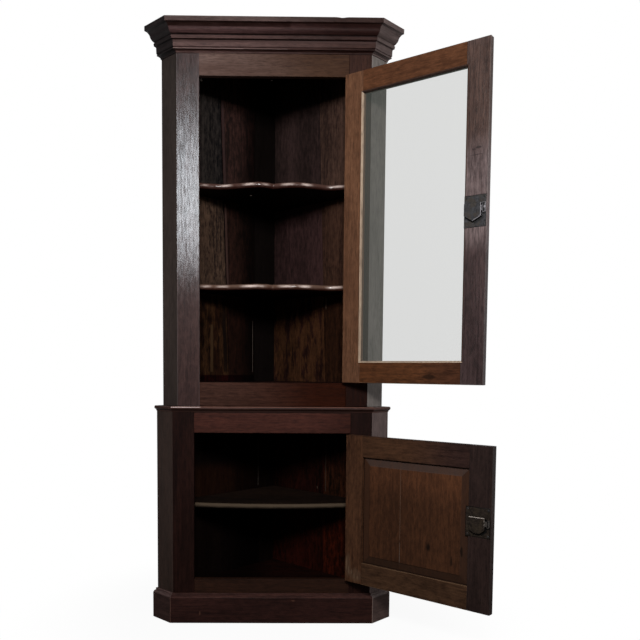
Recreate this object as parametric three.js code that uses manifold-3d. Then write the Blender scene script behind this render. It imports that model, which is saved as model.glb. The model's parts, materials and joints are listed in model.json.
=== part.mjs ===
import * as THREE from 'three';
import { mergeVertices } from 'three/addons/utils/BufferGeometryUtils.js';
import Module from 'manifold-3d';

const wasm = await Module();
wasm.setup();

// Two-part corner cupboard with a glazed door over a panelled door, both shown open
// Millimetres, Z up, X to the right, Y towards the corner of the room
// The origin is on the floor, under the middle of the plinth's front board

// Whole cupboard
const HEIGHT = 2085;
const FRAME_THICK = 22;
const BOARD_THICK = 12;
const RETURN_LIP = 8;
const GROOVE_DEPTH = 5;
const GAP = 0.3;

// Each case is a front frame with a canted return at each side, in front of two walls at right angles
// front and half give the frame's face and half its width, cant how far each return runs across and back
const LOWER = {
  front: 10, half: 353, cant: 66, open: 277, base: 0, top: 774, openLow: 155, openHigh: 680.5,
};
const UPPER = {
  front: 35, half: 338, cant: 61, open: 260, base: 774, top: 2063, openLow: 859, openHigh: 1918,
};
const CORNER_Y = LOWER.front + LOWER.half + 2 * LOWER.cant;
const LOWER_RAIL_FOOT = 12;

// Tenons of the two front frames
const TENON_LONG = 45;
const TENON_INSET = 12;
const TENON_SET = 7.5;
const TENON_THICK = 7;

// Horizontal boards, by the height of their underside and their thickness
const LOWER_FLOOR = { low: 84, thick: 20 };
const LOWER_LID = { low: 756, thick: 18 };
const UPPER_FLOOR = { low: 838, thick: 20 };
const UPPER_LID = { low: 2045, thick: 18 };
const LOWER_SHELF = { low: 398, thick: 20 };
const MIDDLE_SHELF = { low: 1191, thick: 20 };
const HIGH_SHELF = { low: 1549, thick: 20 };

// Shelf fronts: the shaped shelves have two crests, two hollows and a point between the crests
const SHAPED_CREST_Y = 66;
const SHAPED_LEFT = [[-372, 4], [-330, 8], [-270, 20], [-193, 36], [-122, 19], [-60, 0], [-24, 7], [-2, 24]];
const SHAPED_RIGHT = [[-2, 24], [36, 8], [84, 0], [140, 15], [195, 36], [240, 28], [300, 12], [372, 4]];
const SHAPED_STEPS = 22;
const BOWED_Y = 55;
const BOWED_SET = 27;
const BOWED_STEPS = 24;

// Joints between the back boards, as distances along the wall from the corner at the foot and at the head
const UPPER_LEFT_JOINTS = [[122, 122], [253, 308]];
const UPPER_RIGHT_JOINTS = [[300, 250]];
const LOWER_LEFT_JOINTS = [[90, 90]];
const LOWER_RIGHT_JOINTS = [[296, 296]];
const BOARD_SHRINK = 1.4;

// Mouldings, as outlines of how far they stand out from the frame and how high they are
const WALL_TAN = Math.tan(Math.PI / 8);
const PLINTH = { low: 0, shoulder: 92, chamferTop: 98, top: 105 };
const PLINTH_OUT = { face: 20, chamfer: 13, ledge: 8 };
const WAIST = { low: 755, hollow: 758, neck: 762, top: 774 };
const WAIST_OUT = { foot: 1.5, hollow: 2.5, nose: 5, noseRadius: 6 };
const NOSE_ANGLES = [-60, -30, 0, 30, 60, 90];
const CORNICE = {
  foot: [[4, 1993], [4, 1997.5]],
  list: [[20, 2000], [20, 2004], [18, 2005], [18, 2006]],
  band: [[22, 2007], [23, 2026.5], [24, 2028.5]],
  step: [[32, 2029.5], [34, 2038.5], [31, 2040], [31, 2042.5]],
  crown: [[71.5, 2069], [72, HEIGHT]],
};
const COVE = { from: [7, 1998], to: [17, 2000], steps: 4 };
const CYMA = { from: [36, 2044], to: [61, 2068], steps: 12, swell: 2.6 };

// Doors: they fill their openings but for DOOR_GAP, and turn about a pin just in front of the frame
const DOOR_GAP = 2;
const DOOR_THICK = 22;
const PIN_PROUD = 3;
const REBATE = 6;
const GLASS_BACK = 12;
const GLASS_THICK = 3;
const GROOVE = { front: 6, thick: 6, deep: 8 };
const PANEL = { tongue: 7.5, field: 17, bevel: 28 };
const UPPER_DOOR = {
  name: 'upper_door', frame: UPPER, opened: 142.8,
  hingeStile: 71, lockStile: 75.5, topRail: 74, bottomRail: 76,
};
const LOWER_DOOR = {
  name: 'lower_door', frame: LOWER, opened: 138.2,
  hingeStile: 71, lockStile: 77, topRail: 74, bottomRail: 77,
};

// Butt hinges, 76 mm tall, each let into the stile's edge and the door's edge
const HINGE = { tall: 76, leaf: 23, thick: 1.6, barrel: 3.2, pin: 1.5, bore: 1.8, relief: 3.6, knuckle: 25 };
const UPPER_HINGES = [{ name: 'upper_door_low_hinge', z: 962 }, { name: 'upper_door_high_hinge', z: 1736 }];
const LOWER_HINGES = [{ name: 'lower_door_low_hinge', z: 232 }, { name: 'lower_door_high_hinge', z: 530 }];

// Iron locks on the doors' inner faces, measured across from the door's hinge edge and up from the floor
const PLATE_THICK = 2;
const BED_PAST = 2;
const BOLT = { tailThick: 6, headThick: 7.7, tailBack: 39, footSteps: 6 };
const UPPER_LOCK = {
  plate: [441.5, 513, 1349, 1447],
  shield: [[445, 1421], [500, 1421], [500, 1380], [473.5, 1366.5], [445, 1384]],
  rise: 11, tail: [1396.5, 1414.5], head: [503, 512.5, 1390, 1422],
};
const LOWER_LOCK = {
  plate: [463.5, 546, 394, 487.5],
  shield: [[480, 458.5], [531, 458.5], [531, 420], [517, 408], [495, 408], [480, 419]],
  rise: 11, tail: [431, 447], head: [538.5, 545, 427, 451],
};

function paint(color, roughness, metalness = 0) {
  return new THREE.MeshStandardMaterial({ color, roughness, metalness });
}

const frontWood = paint(0x4a2822, 0.42);
const plinthWood = paint(0x3c2222, 0.45);
const doorWood = paint(0x6b4632, 0.5);
const boardWood = paint(0x35241b, 0.75);
const shelfWood = paint(0x5a4336, 0.5);
const iron = paint(0x35333a, 0.5, 0.8);
const glass = paint(0xdfe6e2, 0.05);
glass.transparent = true;
glass.opacity = 0.3;

// Geometry helpers

function solidOf(geometry, flip = false) {
  geometry.deleteAttribute('normal');
  geometry.deleteAttribute('uv');
  const merged = mergeVertices(geometry, 1e-4);
  const triVerts = new Uint32Array(merged.index.array);
  if (flip) {
    for (let i = 0; i < triVerts.length; i += 3) {
      [triVerts[i], triVerts[i + 1]] = [triVerts[i + 1], triVerts[i]];
    }
  }
  const vertProperties = new Float32Array(merged.attributes.position.array);
  return new wasm.Manifold(new wasm.Mesh({ numProp: 3, vertProperties, triVerts }));
}

function geometryOf(solid) {
  const { vertProperties, triVerts } = solid.getMesh();
  const geometry = new THREE.BufferGeometry();
  geometry.setAttribute('position', new THREE.BufferAttribute(vertProperties, 3));
  geometry.setIndex(new THREE.BufferAttribute(triVerts, 1));
  geometry.computeVertexNormals();
  return geometry;
}

function extrusion(outline, depth) {
  const shape = new THREE.Shape(outline.map(([a, b]) => new THREE.Vector2(a, b)));
  return new THREE.ExtrudeGeometry(shape, { depth, bevelEnabled: false });
}

function box([x0, x1], [y0, y1], [z0, z1]) {
  const geometry = new THREE.BoxGeometry(x1 - x0, y1 - y0, z1 - z0);
  geometry.translate((x0 + x1) / 2, (y0 + y1) / 2, (z0 + z1) / 2);
  return solidOf(geometry);
}

// A board whose outline is seen from above
function plank(outline, low, high) {
  return solidOf(extrusion(outline, high - low).translate(0, 0, low));
}

function upright(radius, low, high, sides = 16) {
  const geometry = new THREE.CylinderGeometry(radius, radius, high - low, sides);
  geometry.rotateX(Math.PI / 2);
  geometry.translate(0, 0, (low + high) / 2);
  return solidOf(geometry);
}

const add = (...solids) => solids.reduce((whole, solid) => whole.add(solid));
const cut = (solid, ...tools) => tools.reduce((whole, tool) => whole.subtract(tool), solid);

// Wall frame: along is measured from the corner of the room, in is measured from the wall into the room

function wallPoint(side, along, inward) {
  return [side * (along - inward) * Math.SQRT1_2, CORNER_Y - (along + inward) * Math.SQRT1_2];
}

function onWall(side, outline, inward, thick) {
  const basis = new THREE.Matrix4().makeBasis(
    new THREE.Vector3(side * Math.SQRT1_2, -Math.SQRT1_2, 0),
    new THREE.Vector3(0, 0, 1),
    new THREE.Vector3(-side * Math.SQRT1_2, -Math.SQRT1_2, 0),
  );
  basis.setPosition(0, CORNER_Y, 0);
  const geometry = extrusion(outline, thick).translate(0, 0, inward).applyMatrix4(basis);
  return solidOf(geometry, side < 0);
}

const wallRun = (c) => (c.half + c.cant) * Math.SQRT2;
const returnRun = (c) => c.cant * Math.SQRT2;

// Front frame of a case

const tenonHeights = ([low, high]) => [low + TENON_INSET, high - TENON_INSET];
const tenonDepths = (c) => [c.front + TENON_SET, c.front + TENON_SET + TENON_THICK];
const wider = ([low, high], by) => [low - by, high + by];

function rail(c, heights) {
  const body = box([-c.open, c.open], [c.front, c.front + FRAME_THICK], heights);
  const reach = c.open + TENON_LONG;
  return body.add(box([-reach, reach], tenonDepths(c), tenonHeights(heights)));
}

function stile(c, side, rails, hinges) {
  const back = c.front + FRAME_THICK;
  const outline = [
    [side * c.open, c.front], [side * c.half, c.front],
    [side * (c.half - WALL_TAN * FRAME_THICK), back], [side * c.open, back],
  ];
  let solid = plank(outline, c.base, c.top);
  const pocket = [c.open - 1, c.open + TENON_LONG + GAP].map((x) => side * x).sort((a, b) => a - b);
  for (const heights of rails) {
    solid = cut(solid, box(pocket, wider(tenonDepths(c), GAP), wider(tenonHeights(heights), GAP)));
  }
  const pinX = c.open - DOOR_GAP / 2;
  const pinY = c.front - PIN_PROUD;
  for (const { z } of hinges) {
    const span = wider([z, z + HINGE.tall], GAP);
    const recess = [c.open - 1, c.open + HINGE.thick + GAP];
    solid = cut(
      solid,
      box(recess, [pinY - 1, pinY + HINGE.leaf + GAP], span),
      upright(HINGE.relief, ...span).translate(pinX, pinY, 0),
    );
  }
  return solid;
}

function canted(c, side) {
  const run = wallRun(c);
  const deep = returnRun(c) - GAP;
  const outline = [
    [run, 0], [run, deep], [run - FRAME_THICK, deep - WALL_TAN * FRAME_THICK],
    [run - FRAME_THICK, BOARD_THICK + GAP], [run - RETURN_LIP, BOARD_THICK + GAP], [run - RETURN_LIP, 0],
  ].map(([along, inward]) => wallPoint(side, along, inward));
  return plank(outline, c.base, c.top);
}

// Back boards, from the corner outwards; boards are grooved for the shelves, floor and lid

function backBoards(c, side, joints, housed) {
  const start = side < 0 ? 0 : BOARD_THICK + GAP;
  const end = wallRun(c) - RETURN_LIP - GAP;
  const edges = [[start, start], ...joints, [end, end]];
  return edges.slice(1).map(([foot, head], i) => {
    const [lastFoot, lastHead] = edges[i];
    const opening = i === 0 ? 0 : BOARD_SHRINK;
    const closing = i === 0 ? 0 : GAP;
    const outline = [
      [lastFoot + opening, c.base], [foot, c.base], [head, c.top], [lastHead + closing, c.top],
    ];
    let board = onWall(side, outline, 0, BOARD_THICK);
    for (const { low, thick } of housed) {
      const tall = low + thick === c.top ? thick + 1 : thick + GAP;
      const slot = [[-1, low], [end + 1, low], [end + 1, low + tall], [-1, low + tall]];
      board = cut(board, onWall(side, slot, BOARD_THICK - GROOVE_DEPTH, GROOVE_DEPTH + 1));
    }
    return board;
  });
}

// Horizontal boards fill the space between the returns and reach into the grooves of the back boards

function interior(c, { low, thick }) {
  const along = wallRun(c) - FRAME_THICK - GAP;
  const inward = BOARD_THICK - GROOVE_DEPTH + GAP;
  const frontY = c.front + FRAME_THICK;
  const frontX = frontY - CORNER_Y + along * Math.SQRT2;
  const outline = [
    [frontX, frontY], wallPoint(1, along, inward), [0, CORNER_Y - inward * Math.SQRT2],
    wallPoint(-1, along, inward), [-frontX, frontY],
  ];
  return plank(outline, low, low + thick);
}

function shelf(c, level, front) {
  const far = c.half + c.cant;
  const [firstY, lastY] = [front[0][1], front[front.length - 1][1]];
  const behind = [[-far, firstY], ...front, [far, lastY], [far, CORNER_Y], [-far, CORNER_Y]];
  return interior(c, level).intersect(plank(behind, level.low - 1, level.low + level.thick + 1));
}

function shapedFront() {
  const edge = (points) => {
    const places = points.map(([x, set]) => new THREE.Vector2(x, SHAPED_CREST_Y + set));
    return new THREE.SplineCurve(places).getPoints(SHAPED_STEPS);
  };
  return [...edge(SHAPED_LEFT), ...edge(SHAPED_RIGHT).slice(1)].map(({ x, y }) => [x, y]);
}

function bowedFront() {
  const reach = LOWER.half + LOWER.cant - 1;
  return Array.from({ length: BOWED_STEPS + 1 }, (_, i) => {
    const x = reach * (2 * i / BOWED_STEPS - 1);
    return [x, BOWED_Y + BOWED_SET * (x / LOWER.open) ** 2];
  });
}

// Mouldings run along the front and both returns, mitred at the two front corners

function plinthProfile() {
  const { low, shoulder, chamferTop, top } = PLINTH;
  const { face, chamfer, ledge } = PLINTH_OUT;
  return [
    [GAP, low], [face, low], [face, shoulder], [chamfer, chamferTop],
    [ledge, chamferTop], [ledge, top], [GAP, top],
  ];
}

function waistProfile() {
  const { low, hollow, neck, top } = WAIST;
  const { noseRadius } = WAIST_OUT;
  const centre = [WAIST_OUT.nose, top - noseRadius];
  const nose = NOSE_ANGLES.map((degrees) => {
    const angle = THREE.MathUtils.degToRad(degrees);
    return [centre[0] + noseRadius * Math.cos(angle), centre[1] + noseRadius * Math.sin(angle)];
  });
  return [
    [GAP, low], [WAIST_OUT.foot, low], [WAIST_OUT.hollow, hollow], [WAIST_OUT.nose, neck],
    ...nose, [GAP, top],
  ];
}

function corniceProfile() {
  const { lerp } = THREE.MathUtils;
  const { foot, list, band, step, crown } = CORNICE;
  const cove = Array.from({ length: COVE.steps + 1 }, (_, i) => {
    const angle = i / COVE.steps * Math.PI / 2;
    return [
      lerp(COVE.to[0], COVE.from[0], Math.cos(angle)),
      lerp(COVE.from[1], COVE.to[1], Math.sin(angle)),
    ];
  });
  const cyma = Array.from({ length: CYMA.steps + 1 }, (_, i) => {
    const t = i / CYMA.steps;
    const out = lerp(CYMA.from[0], CYMA.to[0], t) + CYMA.swell * Math.sin(2 * Math.PI * t);
    return [out, lerp(CYMA.from[1], CYMA.to[1], t)];
  });
  return [[GAP, foot[0][1]], ...foot, ...cove, ...list, ...band, ...step, ...cyma, ...crown, [GAP, HEIGHT]];
}

function moulding(profile, c, side) {
  const start = new THREE.Vector3(side * c.half, c.front, 0);
  const out = new THREE.Vector3(side, -1, 0).normalize();
  const along = new THREE.Vector3(out.y, -out.x, 0);
  const mitre = (p) => WALL_TAN * p - GAP;
  const ends = {
    '-1': [(p) => -mitre(p), () => returnRun(c)],
    0: [(p) => -c.half - mitre(p), (p) => c.half + mitre(p)],
    1: [() => -returnRun(c), mitre],
  }[side];
  const geometry = extrusion(profile, 1);
  const position = geometry.attributes.position;
  const point = new THREE.Vector3();
  for (let i = 0; i < position.count; i += 1) {
    const p = position.getX(i);
    const reach = ends[position.getZ(i) < 0.5 ? 0 : 1](p);
    point.copy(start).addScaledVector(along, reach).addScaledVector(out, p);
    position.setXYZ(i, point.x, point.y, position.getY(i));
  }
  return solidOf(geometry);
}

// Door frame: across is measured from the hinge edge, deep from the door's front face when it is shut

const doorWide = (door) => 2 * (door.frame.open - DOOR_GAP);
const doorHeights = ({ frame }) => [frame.openLow + DOOR_GAP, frame.openHigh - DOOR_GAP];

function sight(door) {
  const [low, high] = doorHeights(door);
  return {
    across: [door.hingeStile, doorWide(door) - door.lockStile],
    heights: [low + door.bottomRail, high - door.topRail],
  };
}

function inDoor([a0, a1], [d0, d1], heights) {
  return box([-DOOR_GAP / 2 - a1, -DOOR_GAP / 2 - a0], [PIN_PROUD + d0, PIN_PROUD + d1], heights);
}

function doorSlab(outline, deep, thick) {
  const basis = new THREE.Matrix4().makeBasis(
    new THREE.Vector3(-1, 0, 0),
    new THREE.Vector3(0, 0, 1),
    new THREE.Vector3(0, 1, 0),
  );
  basis.setPosition(-DOOR_GAP / 2, PIN_PROUD + deep, 0);
  return solidOf(extrusion(outline, thick).applyMatrix4(basis));
}

// What the frame loses on its inner edges: a rebate for the glass, or a groove for the panel

function edgeCut(door) {
  const { across, heights } = sight(door);
  if (door === UPPER_DOOR) {
    const rebateDeep = [GLASS_BACK - GLASS_THICK, DOOR_THICK + 1];
    return inDoor(wider(across, REBATE), rebateDeep, wider(heights, REBATE));
  }
  const deep = wider([GROOVE.front, GROOVE.front + GROOVE.thick], GAP);
  return inDoor(wider(across, GROOVE.deep), deep, wider(heights, GROOVE.deep));
}

function doorTenons(door) {
  const { across, heights } = sight(door);
  const [low, high] = doorHeights(door);
  const clear = REBATE + TENON_INSET;
  return [[low + TENON_INSET, heights[0] - clear], [heights[1] + clear, high - TENON_INSET]].map((span) => ({
    across: wider(across, TENON_LONG), deep: [TENON_SET, TENON_SET + TENON_THICK], span,
  }));
}

function doorRails(door) {
  const { across, heights } = sight(door);
  const [low, high] = doorHeights(door);
  const spans = [[low, heights[0]], [heights[1], high]];
  return spans.map((span, i) => {
    const body = cut(inDoor(wider(across, -GAP), [0, DOOR_THICK], span), edgeCut(door));
    const tenon = doorTenons(door)[i];
    return body.add(inDoor(tenon.across, tenon.deep, tenon.span));
  });
}

// The bed of a lock's plate runs on past the plate's inner side, through the bead of the glass

function lockBed({ plate }) {
  const [a0, a1, z0, z1] = plate;
  const deep = [DOOR_THICK - PLATE_THICK - GAP, DOOR_THICK + 1];
  return inDoor([a0 - BED_PAST, a1 + GAP], deep, wider([z0, z1], GAP));
}

function doorStiles(door, hinges, lock) {
  const wide = doorWide(door);
  const thick = [0, DOOR_THICK];
  const heights = doorHeights(door);
  const pockets = doorTenons(door).map(({ across, deep, span }) => (
    inDoor(wider(across, GAP), wider(deep, GAP), wider(span, GAP))
  ));
  const hingeCuts = hinges.flatMap(({ z }) => {
    const span = wider([z, z + HINGE.tall], GAP);
    const leafDeep = [-PIN_PROUD - 1, HINGE.leaf - PIN_PROUD + GAP];
    return [inDoor([-1, HINGE.thick + GAP], leafDeep, span), upright(HINGE.relief, ...span)];
  });
  return [
    cut(inDoor([0, door.hingeStile], thick, heights), edgeCut(door), ...pockets, ...hingeCuts),
    cut(inDoor([wide - door.lockStile, wide], thick, heights), edgeCut(door), ...pockets, lockBed(lock)),
  ];
}

function glassPane(door) {
  const { across, heights } = sight(door);
  const edge = REBATE - GAP;
  const deep = [GLASS_BACK - GLASS_THICK + GAP, GLASS_BACK + GAP];
  return inDoor(wider(across, edge), deep, wider(heights, edge));
}

function glazingBead(door, lock) {
  const { across, heights } = sight(door);
  const edge = REBATE - GAP;
  const deep = [GLASS_BACK + 2 * GAP, DOOR_THICK - GAP];
  const whole = inDoor(wider(across, edge), deep, wider(heights, edge));
  return cut(whole, inDoor(across, wider(deep, 1), heights), lockBed(lock));
}

// The panel has a tongue all round and, on the inner side, a flat field inside four bevels

function panel(door) {
  const { across, heights } = sight(door);
  const back = GROOVE.front + GROOVE.thick;
  const board = inDoor(wider(across, PANEL.tongue), [GROOVE.front, back], wider(heights, PANEL.tongue));
  const centre = [(across[0] + across[1]) / 2, (heights[0] + heights[1]) / 2];
  const size = [across[1] - across[0], heights[1] - heights[0]];
  const geometry = new THREE.BoxGeometry(size[0], PANEL.field - back, size[1]);
  const position = geometry.attributes.position;
  const shrink = size.map((length) => (length - 2 * PANEL.bevel) / length);
  for (let i = 0; i < position.count; i += 1) {
    if (position.getY(i) > 0) {
      position.setX(i, position.getX(i) * shrink[0]);
      position.setZ(i, position.getZ(i) * shrink[1]);
    }
  }
  geometry.translate(-DOOR_GAP / 2 - centre[0], PIN_PROUD + (back + PANEL.field) / 2, centre[1]);
  return board.add(solidOf(geometry));
}

// Hinges, drawn about their pin; side is 1 for the leaf on the case and -1 for the leaf on the door

function hingeLeaf(side, z) {
  const { tall, leaf, thick, barrel, pin, bore, relief, knuckle } = HINGE;
  const faceX = DOOR_GAP / 2;
  const plateX = [side * faceX, side * (faceX + thick)].sort((a, b) => a - b);
  const plate = box(plateX, [0, leaf], [z, z + tall]);
  const middle = [z + knuckle, z + tall - knuckle];
  if (side > 0) {
    return add(
      cut(plate, upright(relief, ...middle)),
      upright(barrel, z, middle[0]),
      upright(barrel, middle[1], z + tall),
      upright(pin, middle[0] - 1, middle[1] + 1),
    );
  }
  const [low, high] = wider(middle, -GAP);
  const sleeve = cut(upright(barrel, low, high), upright(bore, low - 1, high + 1));
  const ends = [upright(relief, z - 1, low), upright(relief, high, z + tall + 1)];
  return add(cut(plate, ...ends, upright(bore, low - 1, high + 1)), sleeve);
}

// Locks: a plate let in flush, a raised shield that houses the bolt's tail, and the bolt itself

function lockCase({ plate, shield, rise, tail, head }) {
  const [a0, a1, z0, z1] = plate;
  const base = inDoor([a0, a1], [DOOR_THICK - PLATE_THICK, DOOR_THICK], [z0, z1]);
  const channel = inDoor(
    [head[0] - BOLT.tailBack - 1, head[0] + 1],
    [DOOR_THICK, DOOR_THICK + BOLT.tailThick + 2 * GAP],
    wider(tail, GAP),
  );
  return cut(add(base, doorSlab(shield, DOOR_THICK, rise)), channel);
}

function lockBolt({ tail, head }) {
  const [a0, a1, z0, z1] = head;
  const deep = DOOR_THICK + GAP;
  const bar = inDoor([a0 - BOLT.tailBack, a0 + 1], [deep, deep + BOLT.tailThick], tail);
  const half = (a1 - a0) / 2;
  const rounded = Array.from({ length: BOLT.footSteps + 1 }, (_, i) => {
    const angle = Math.PI * i / BOLT.footSteps;
    return [a0 + half - half * Math.cos(angle), z0 + half - half * Math.sin(angle)];
  });
  return bar.add(doorSlab([...rounded, [a1, z1], [a0, z1]], deep, BOLT.headThick));
}

// Assembly

function put(parent, name, solid, material) {
  const mesh = new THREE.Mesh(geometryOf(solid), material);
  mesh.name = name;
  parent.add(mesh);
}

const sides = [['left', -1], ['right', 1]];

function putCase(parent, name, c, railHeights, hinges, joints, housed) {
  for (const [sideName, side] of sides) {
    const stileHinges = side > 0 ? hinges : [];
    put(parent, `${name}_${sideName}_stile`, stile(c, side, railHeights, stileHinges), frontWood);
    put(parent, `${name}_${sideName}_return`, canted(c, side), frontWood);
    backBoards(c, side, joints[side < 0 ? 0 : 1], housed).forEach((board, i) => {
      put(parent, `${name}_${sideName}_back_board_${i + 1}`, board, boardWood);
    });
  }
  put(parent, `${name}_bottom_rail`, rail(c, railHeights[0]), frontWood);
  put(parent, `${name}_top_rail`, rail(c, railHeights[1]), frontWood);
}

function putMoulding(parent, name, profile, c, material) {
  for (const [sideName, side] of [['front', 0], ...sides]) {
    put(parent, `${name}_${sideName}`, moulding(profile, c, side), material);
  }
}

function putDoor(parent, door, hinges, lock) {
  const { name, frame } = door;
  const pin = new THREE.Vector3(frame.open - DOOR_GAP / 2, frame.front - PIN_PROUD, 0);
  const fixed = new THREE.Group();
  fixed.position.copy(pin);
  const leaf = new THREE.Group();
  leaf.position.copy(pin);
  leaf.rotation.z = THREE.MathUtils.degToRad(door.opened);
  parent.add(fixed, leaf);
  const [hingeStile, lockStile] = doorStiles(door, hinges, lock);
  const [bottomRail, topRail] = doorRails(door);
  put(leaf, `${name}_hinge_stile`, hingeStile, doorWood);
  put(leaf, `${name}_lock_stile`, lockStile, doorWood);
  put(leaf, `${name}_bottom_rail`, bottomRail, doorWood);
  put(leaf, `${name}_top_rail`, topRail, doorWood);
  for (const hinge of hinges) {
    put(fixed, `${hinge.name}_case_leaf`, hingeLeaf(1, hinge.z), iron);
    put(leaf, `${hinge.name}_door_leaf`, hingeLeaf(-1, hinge.z), iron);
  }
  put(leaf, `${name}_lock`, lockCase(lock), iron);
  put(leaf, `${name}_lock_bolt`, lockBolt(lock), iron);
  return leaf;
}

const cupboard = new THREE.Group();

const lowerRails = [[LOWER_RAIL_FOOT, LOWER.openLow], [LOWER.openHigh, LOWER.top]];
const lowerJoints = [LOWER_LEFT_JOINTS, LOWER_RIGHT_JOINTS];
const lowerHoused = [LOWER_FLOOR, LOWER_SHELF, LOWER_LID];
putCase(cupboard, 'lower', LOWER, lowerRails, LOWER_HINGES, lowerJoints, lowerHoused);
put(cupboard, 'lower_floor', interior(LOWER, LOWER_FLOOR), boardWood);
put(cupboard, 'lower_lid', interior(LOWER, LOWER_LID), boardWood);
put(cupboard, 'lower_shelf', shelf(LOWER, LOWER_SHELF, bowedFront()), shelfWood);
putMoulding(cupboard, 'plinth', plinthProfile(), LOWER, plinthWood);
putMoulding(cupboard, 'waist_moulding', waistProfile(), LOWER, frontWood);

const upperRails = [[UPPER.base, UPPER.openLow], [UPPER.openHigh, UPPER.top]];
const upperJoints = [UPPER_LEFT_JOINTS, UPPER_RIGHT_JOINTS];
const upperHoused = [UPPER_FLOOR, MIDDLE_SHELF, HIGH_SHELF, UPPER_LID];
putCase(cupboard, 'upper', UPPER, upperRails, UPPER_HINGES, upperJoints, upperHoused);
put(cupboard, 'upper_floor', interior(UPPER, UPPER_FLOOR), boardWood);
put(cupboard, 'upper_lid', interior(UPPER, UPPER_LID), boardWood);
put(cupboard, 'middle_shelf', shelf(UPPER, MIDDLE_SHELF, shapedFront()), shelfWood);
put(cupboard, 'high_shelf', shelf(UPPER, HIGH_SHELF, shapedFront()), shelfWood);
putMoulding(cupboard, 'cornice', corniceProfile(), UPPER, frontWood);

const glazed = putDoor(cupboard, UPPER_DOOR, UPPER_HINGES, UPPER_LOCK);
put(glazed, 'upper_door_glass', glassPane(UPPER_DOOR), glass);
put(glazed, 'upper_door_glazing_bead', glazingBead(UPPER_DOOR, UPPER_LOCK), doorWood);

const panelled = putDoor(cupboard, LOWER_DOOR, LOWER_HINGES, LOWER_LOCK);
put(panelled, 'lower_door_panel', panel(LOWER_DOOR), doorWood);

export default cupboard;
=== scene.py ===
"""A two-part corner cupboard with a glazed door over a panelled door, both standing open.

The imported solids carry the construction. Here every piece gets its finish, the boards get eased arrises,
and the moulded, shaped and small pieces are surfaces worked out with numpy.
Metres, Z up, X to the right, Y towards the corner of the room.
"""

import json
import math

import bmesh
import bpy
import numpy as np
from mathutils import Matrix, Vector

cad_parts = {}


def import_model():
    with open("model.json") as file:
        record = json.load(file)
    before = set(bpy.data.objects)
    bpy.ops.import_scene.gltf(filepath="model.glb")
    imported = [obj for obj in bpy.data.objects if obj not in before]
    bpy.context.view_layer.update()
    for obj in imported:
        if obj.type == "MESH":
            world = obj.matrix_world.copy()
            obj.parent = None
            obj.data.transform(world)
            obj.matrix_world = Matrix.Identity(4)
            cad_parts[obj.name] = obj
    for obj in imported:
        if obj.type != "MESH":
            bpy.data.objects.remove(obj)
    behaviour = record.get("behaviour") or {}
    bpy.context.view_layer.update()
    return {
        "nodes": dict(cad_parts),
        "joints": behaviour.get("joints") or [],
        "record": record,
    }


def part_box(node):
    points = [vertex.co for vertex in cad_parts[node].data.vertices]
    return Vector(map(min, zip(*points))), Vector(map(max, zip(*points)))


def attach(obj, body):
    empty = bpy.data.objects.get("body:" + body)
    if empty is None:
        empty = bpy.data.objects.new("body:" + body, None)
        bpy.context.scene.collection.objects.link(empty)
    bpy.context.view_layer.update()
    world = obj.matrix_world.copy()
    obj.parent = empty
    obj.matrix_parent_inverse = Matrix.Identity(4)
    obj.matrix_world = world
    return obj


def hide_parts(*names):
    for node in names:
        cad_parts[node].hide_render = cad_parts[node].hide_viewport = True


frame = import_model()
nodes = frame["nodes"]
bodies = frame["record"]["behaviour"]["bodies"]
body_of_node = {node: body for body, members in bodies.items() for node in members}

# Driving sizes, as in the solids
MM = 0.001
GAP = 0.3 * MM
CORNER_Y = 0.495
WALL_TAN = math.tan(math.pi / 8)
LOWER = {"front": 0.010, "half": 0.353, "cant": 0.066, "opening": 0.277}
UPPER = {"front": 0.035, "half": 0.338, "cant": 0.061, "opening": 0.260}
DOOR_EDGE = 0.001
PIN_PROUD = 0.003
DOOR_THICK = 0.022

# The photograph's camera
CAMERA_PLACE = (0.0231, -2.5380, 0.9088)
CAMERA_PITCH = math.radians(3.82)
CAMERA_YAW = math.radians(0.66)
CAMERA_ROLL = math.radians(0.37)
FOCAL_PIXELS = 722.24
FRAME_PIXELS = 640
MIDDLE_PIXEL = (287.26, 416.92)
SENSOR = 36.0


def linear(red, green, blue):
    """A colour written as a screen shows it, 0 to 255, as the light it stands for."""
    shown = np.array([red, green, blue]) / 255
    light = np.where(shown <= 0.04045, shown / 12.92, ((shown + 0.055) / 1.055) ** 2.4)
    return (*light.tolist(), 1.0)


def operator(operation, swapped=False):
    """A method of Wire that adds a Math node, with its two values swapped for a reflected operator."""
    def method(self, *others):
        values = (self, *others)[::-1] if swapped else (self, *others)
        return self.paint.node("ShaderNodeMath", {"operation": operation}, dict(enumerate(values)))
    return method


class Wire:
    """An output of a node. Python's operators on it add Math nodes."""

    def __init__(self, paint, socket):
        self.paint, self.socket = paint, socket

    __add__ = __radd__ = operator("ADD")
    __sub__ = operator("SUBTRACT")
    __rsub__ = operator("SUBTRACT", swapped=True)
    __mul__ = __rmul__ = operator("MULTIPLY")
    __pow__ = operator("POWER")
    __abs__ = operator("ABSOLUTE")
    least = operator("MINIMUM")
    most = operator("MAXIMUM")


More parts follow.
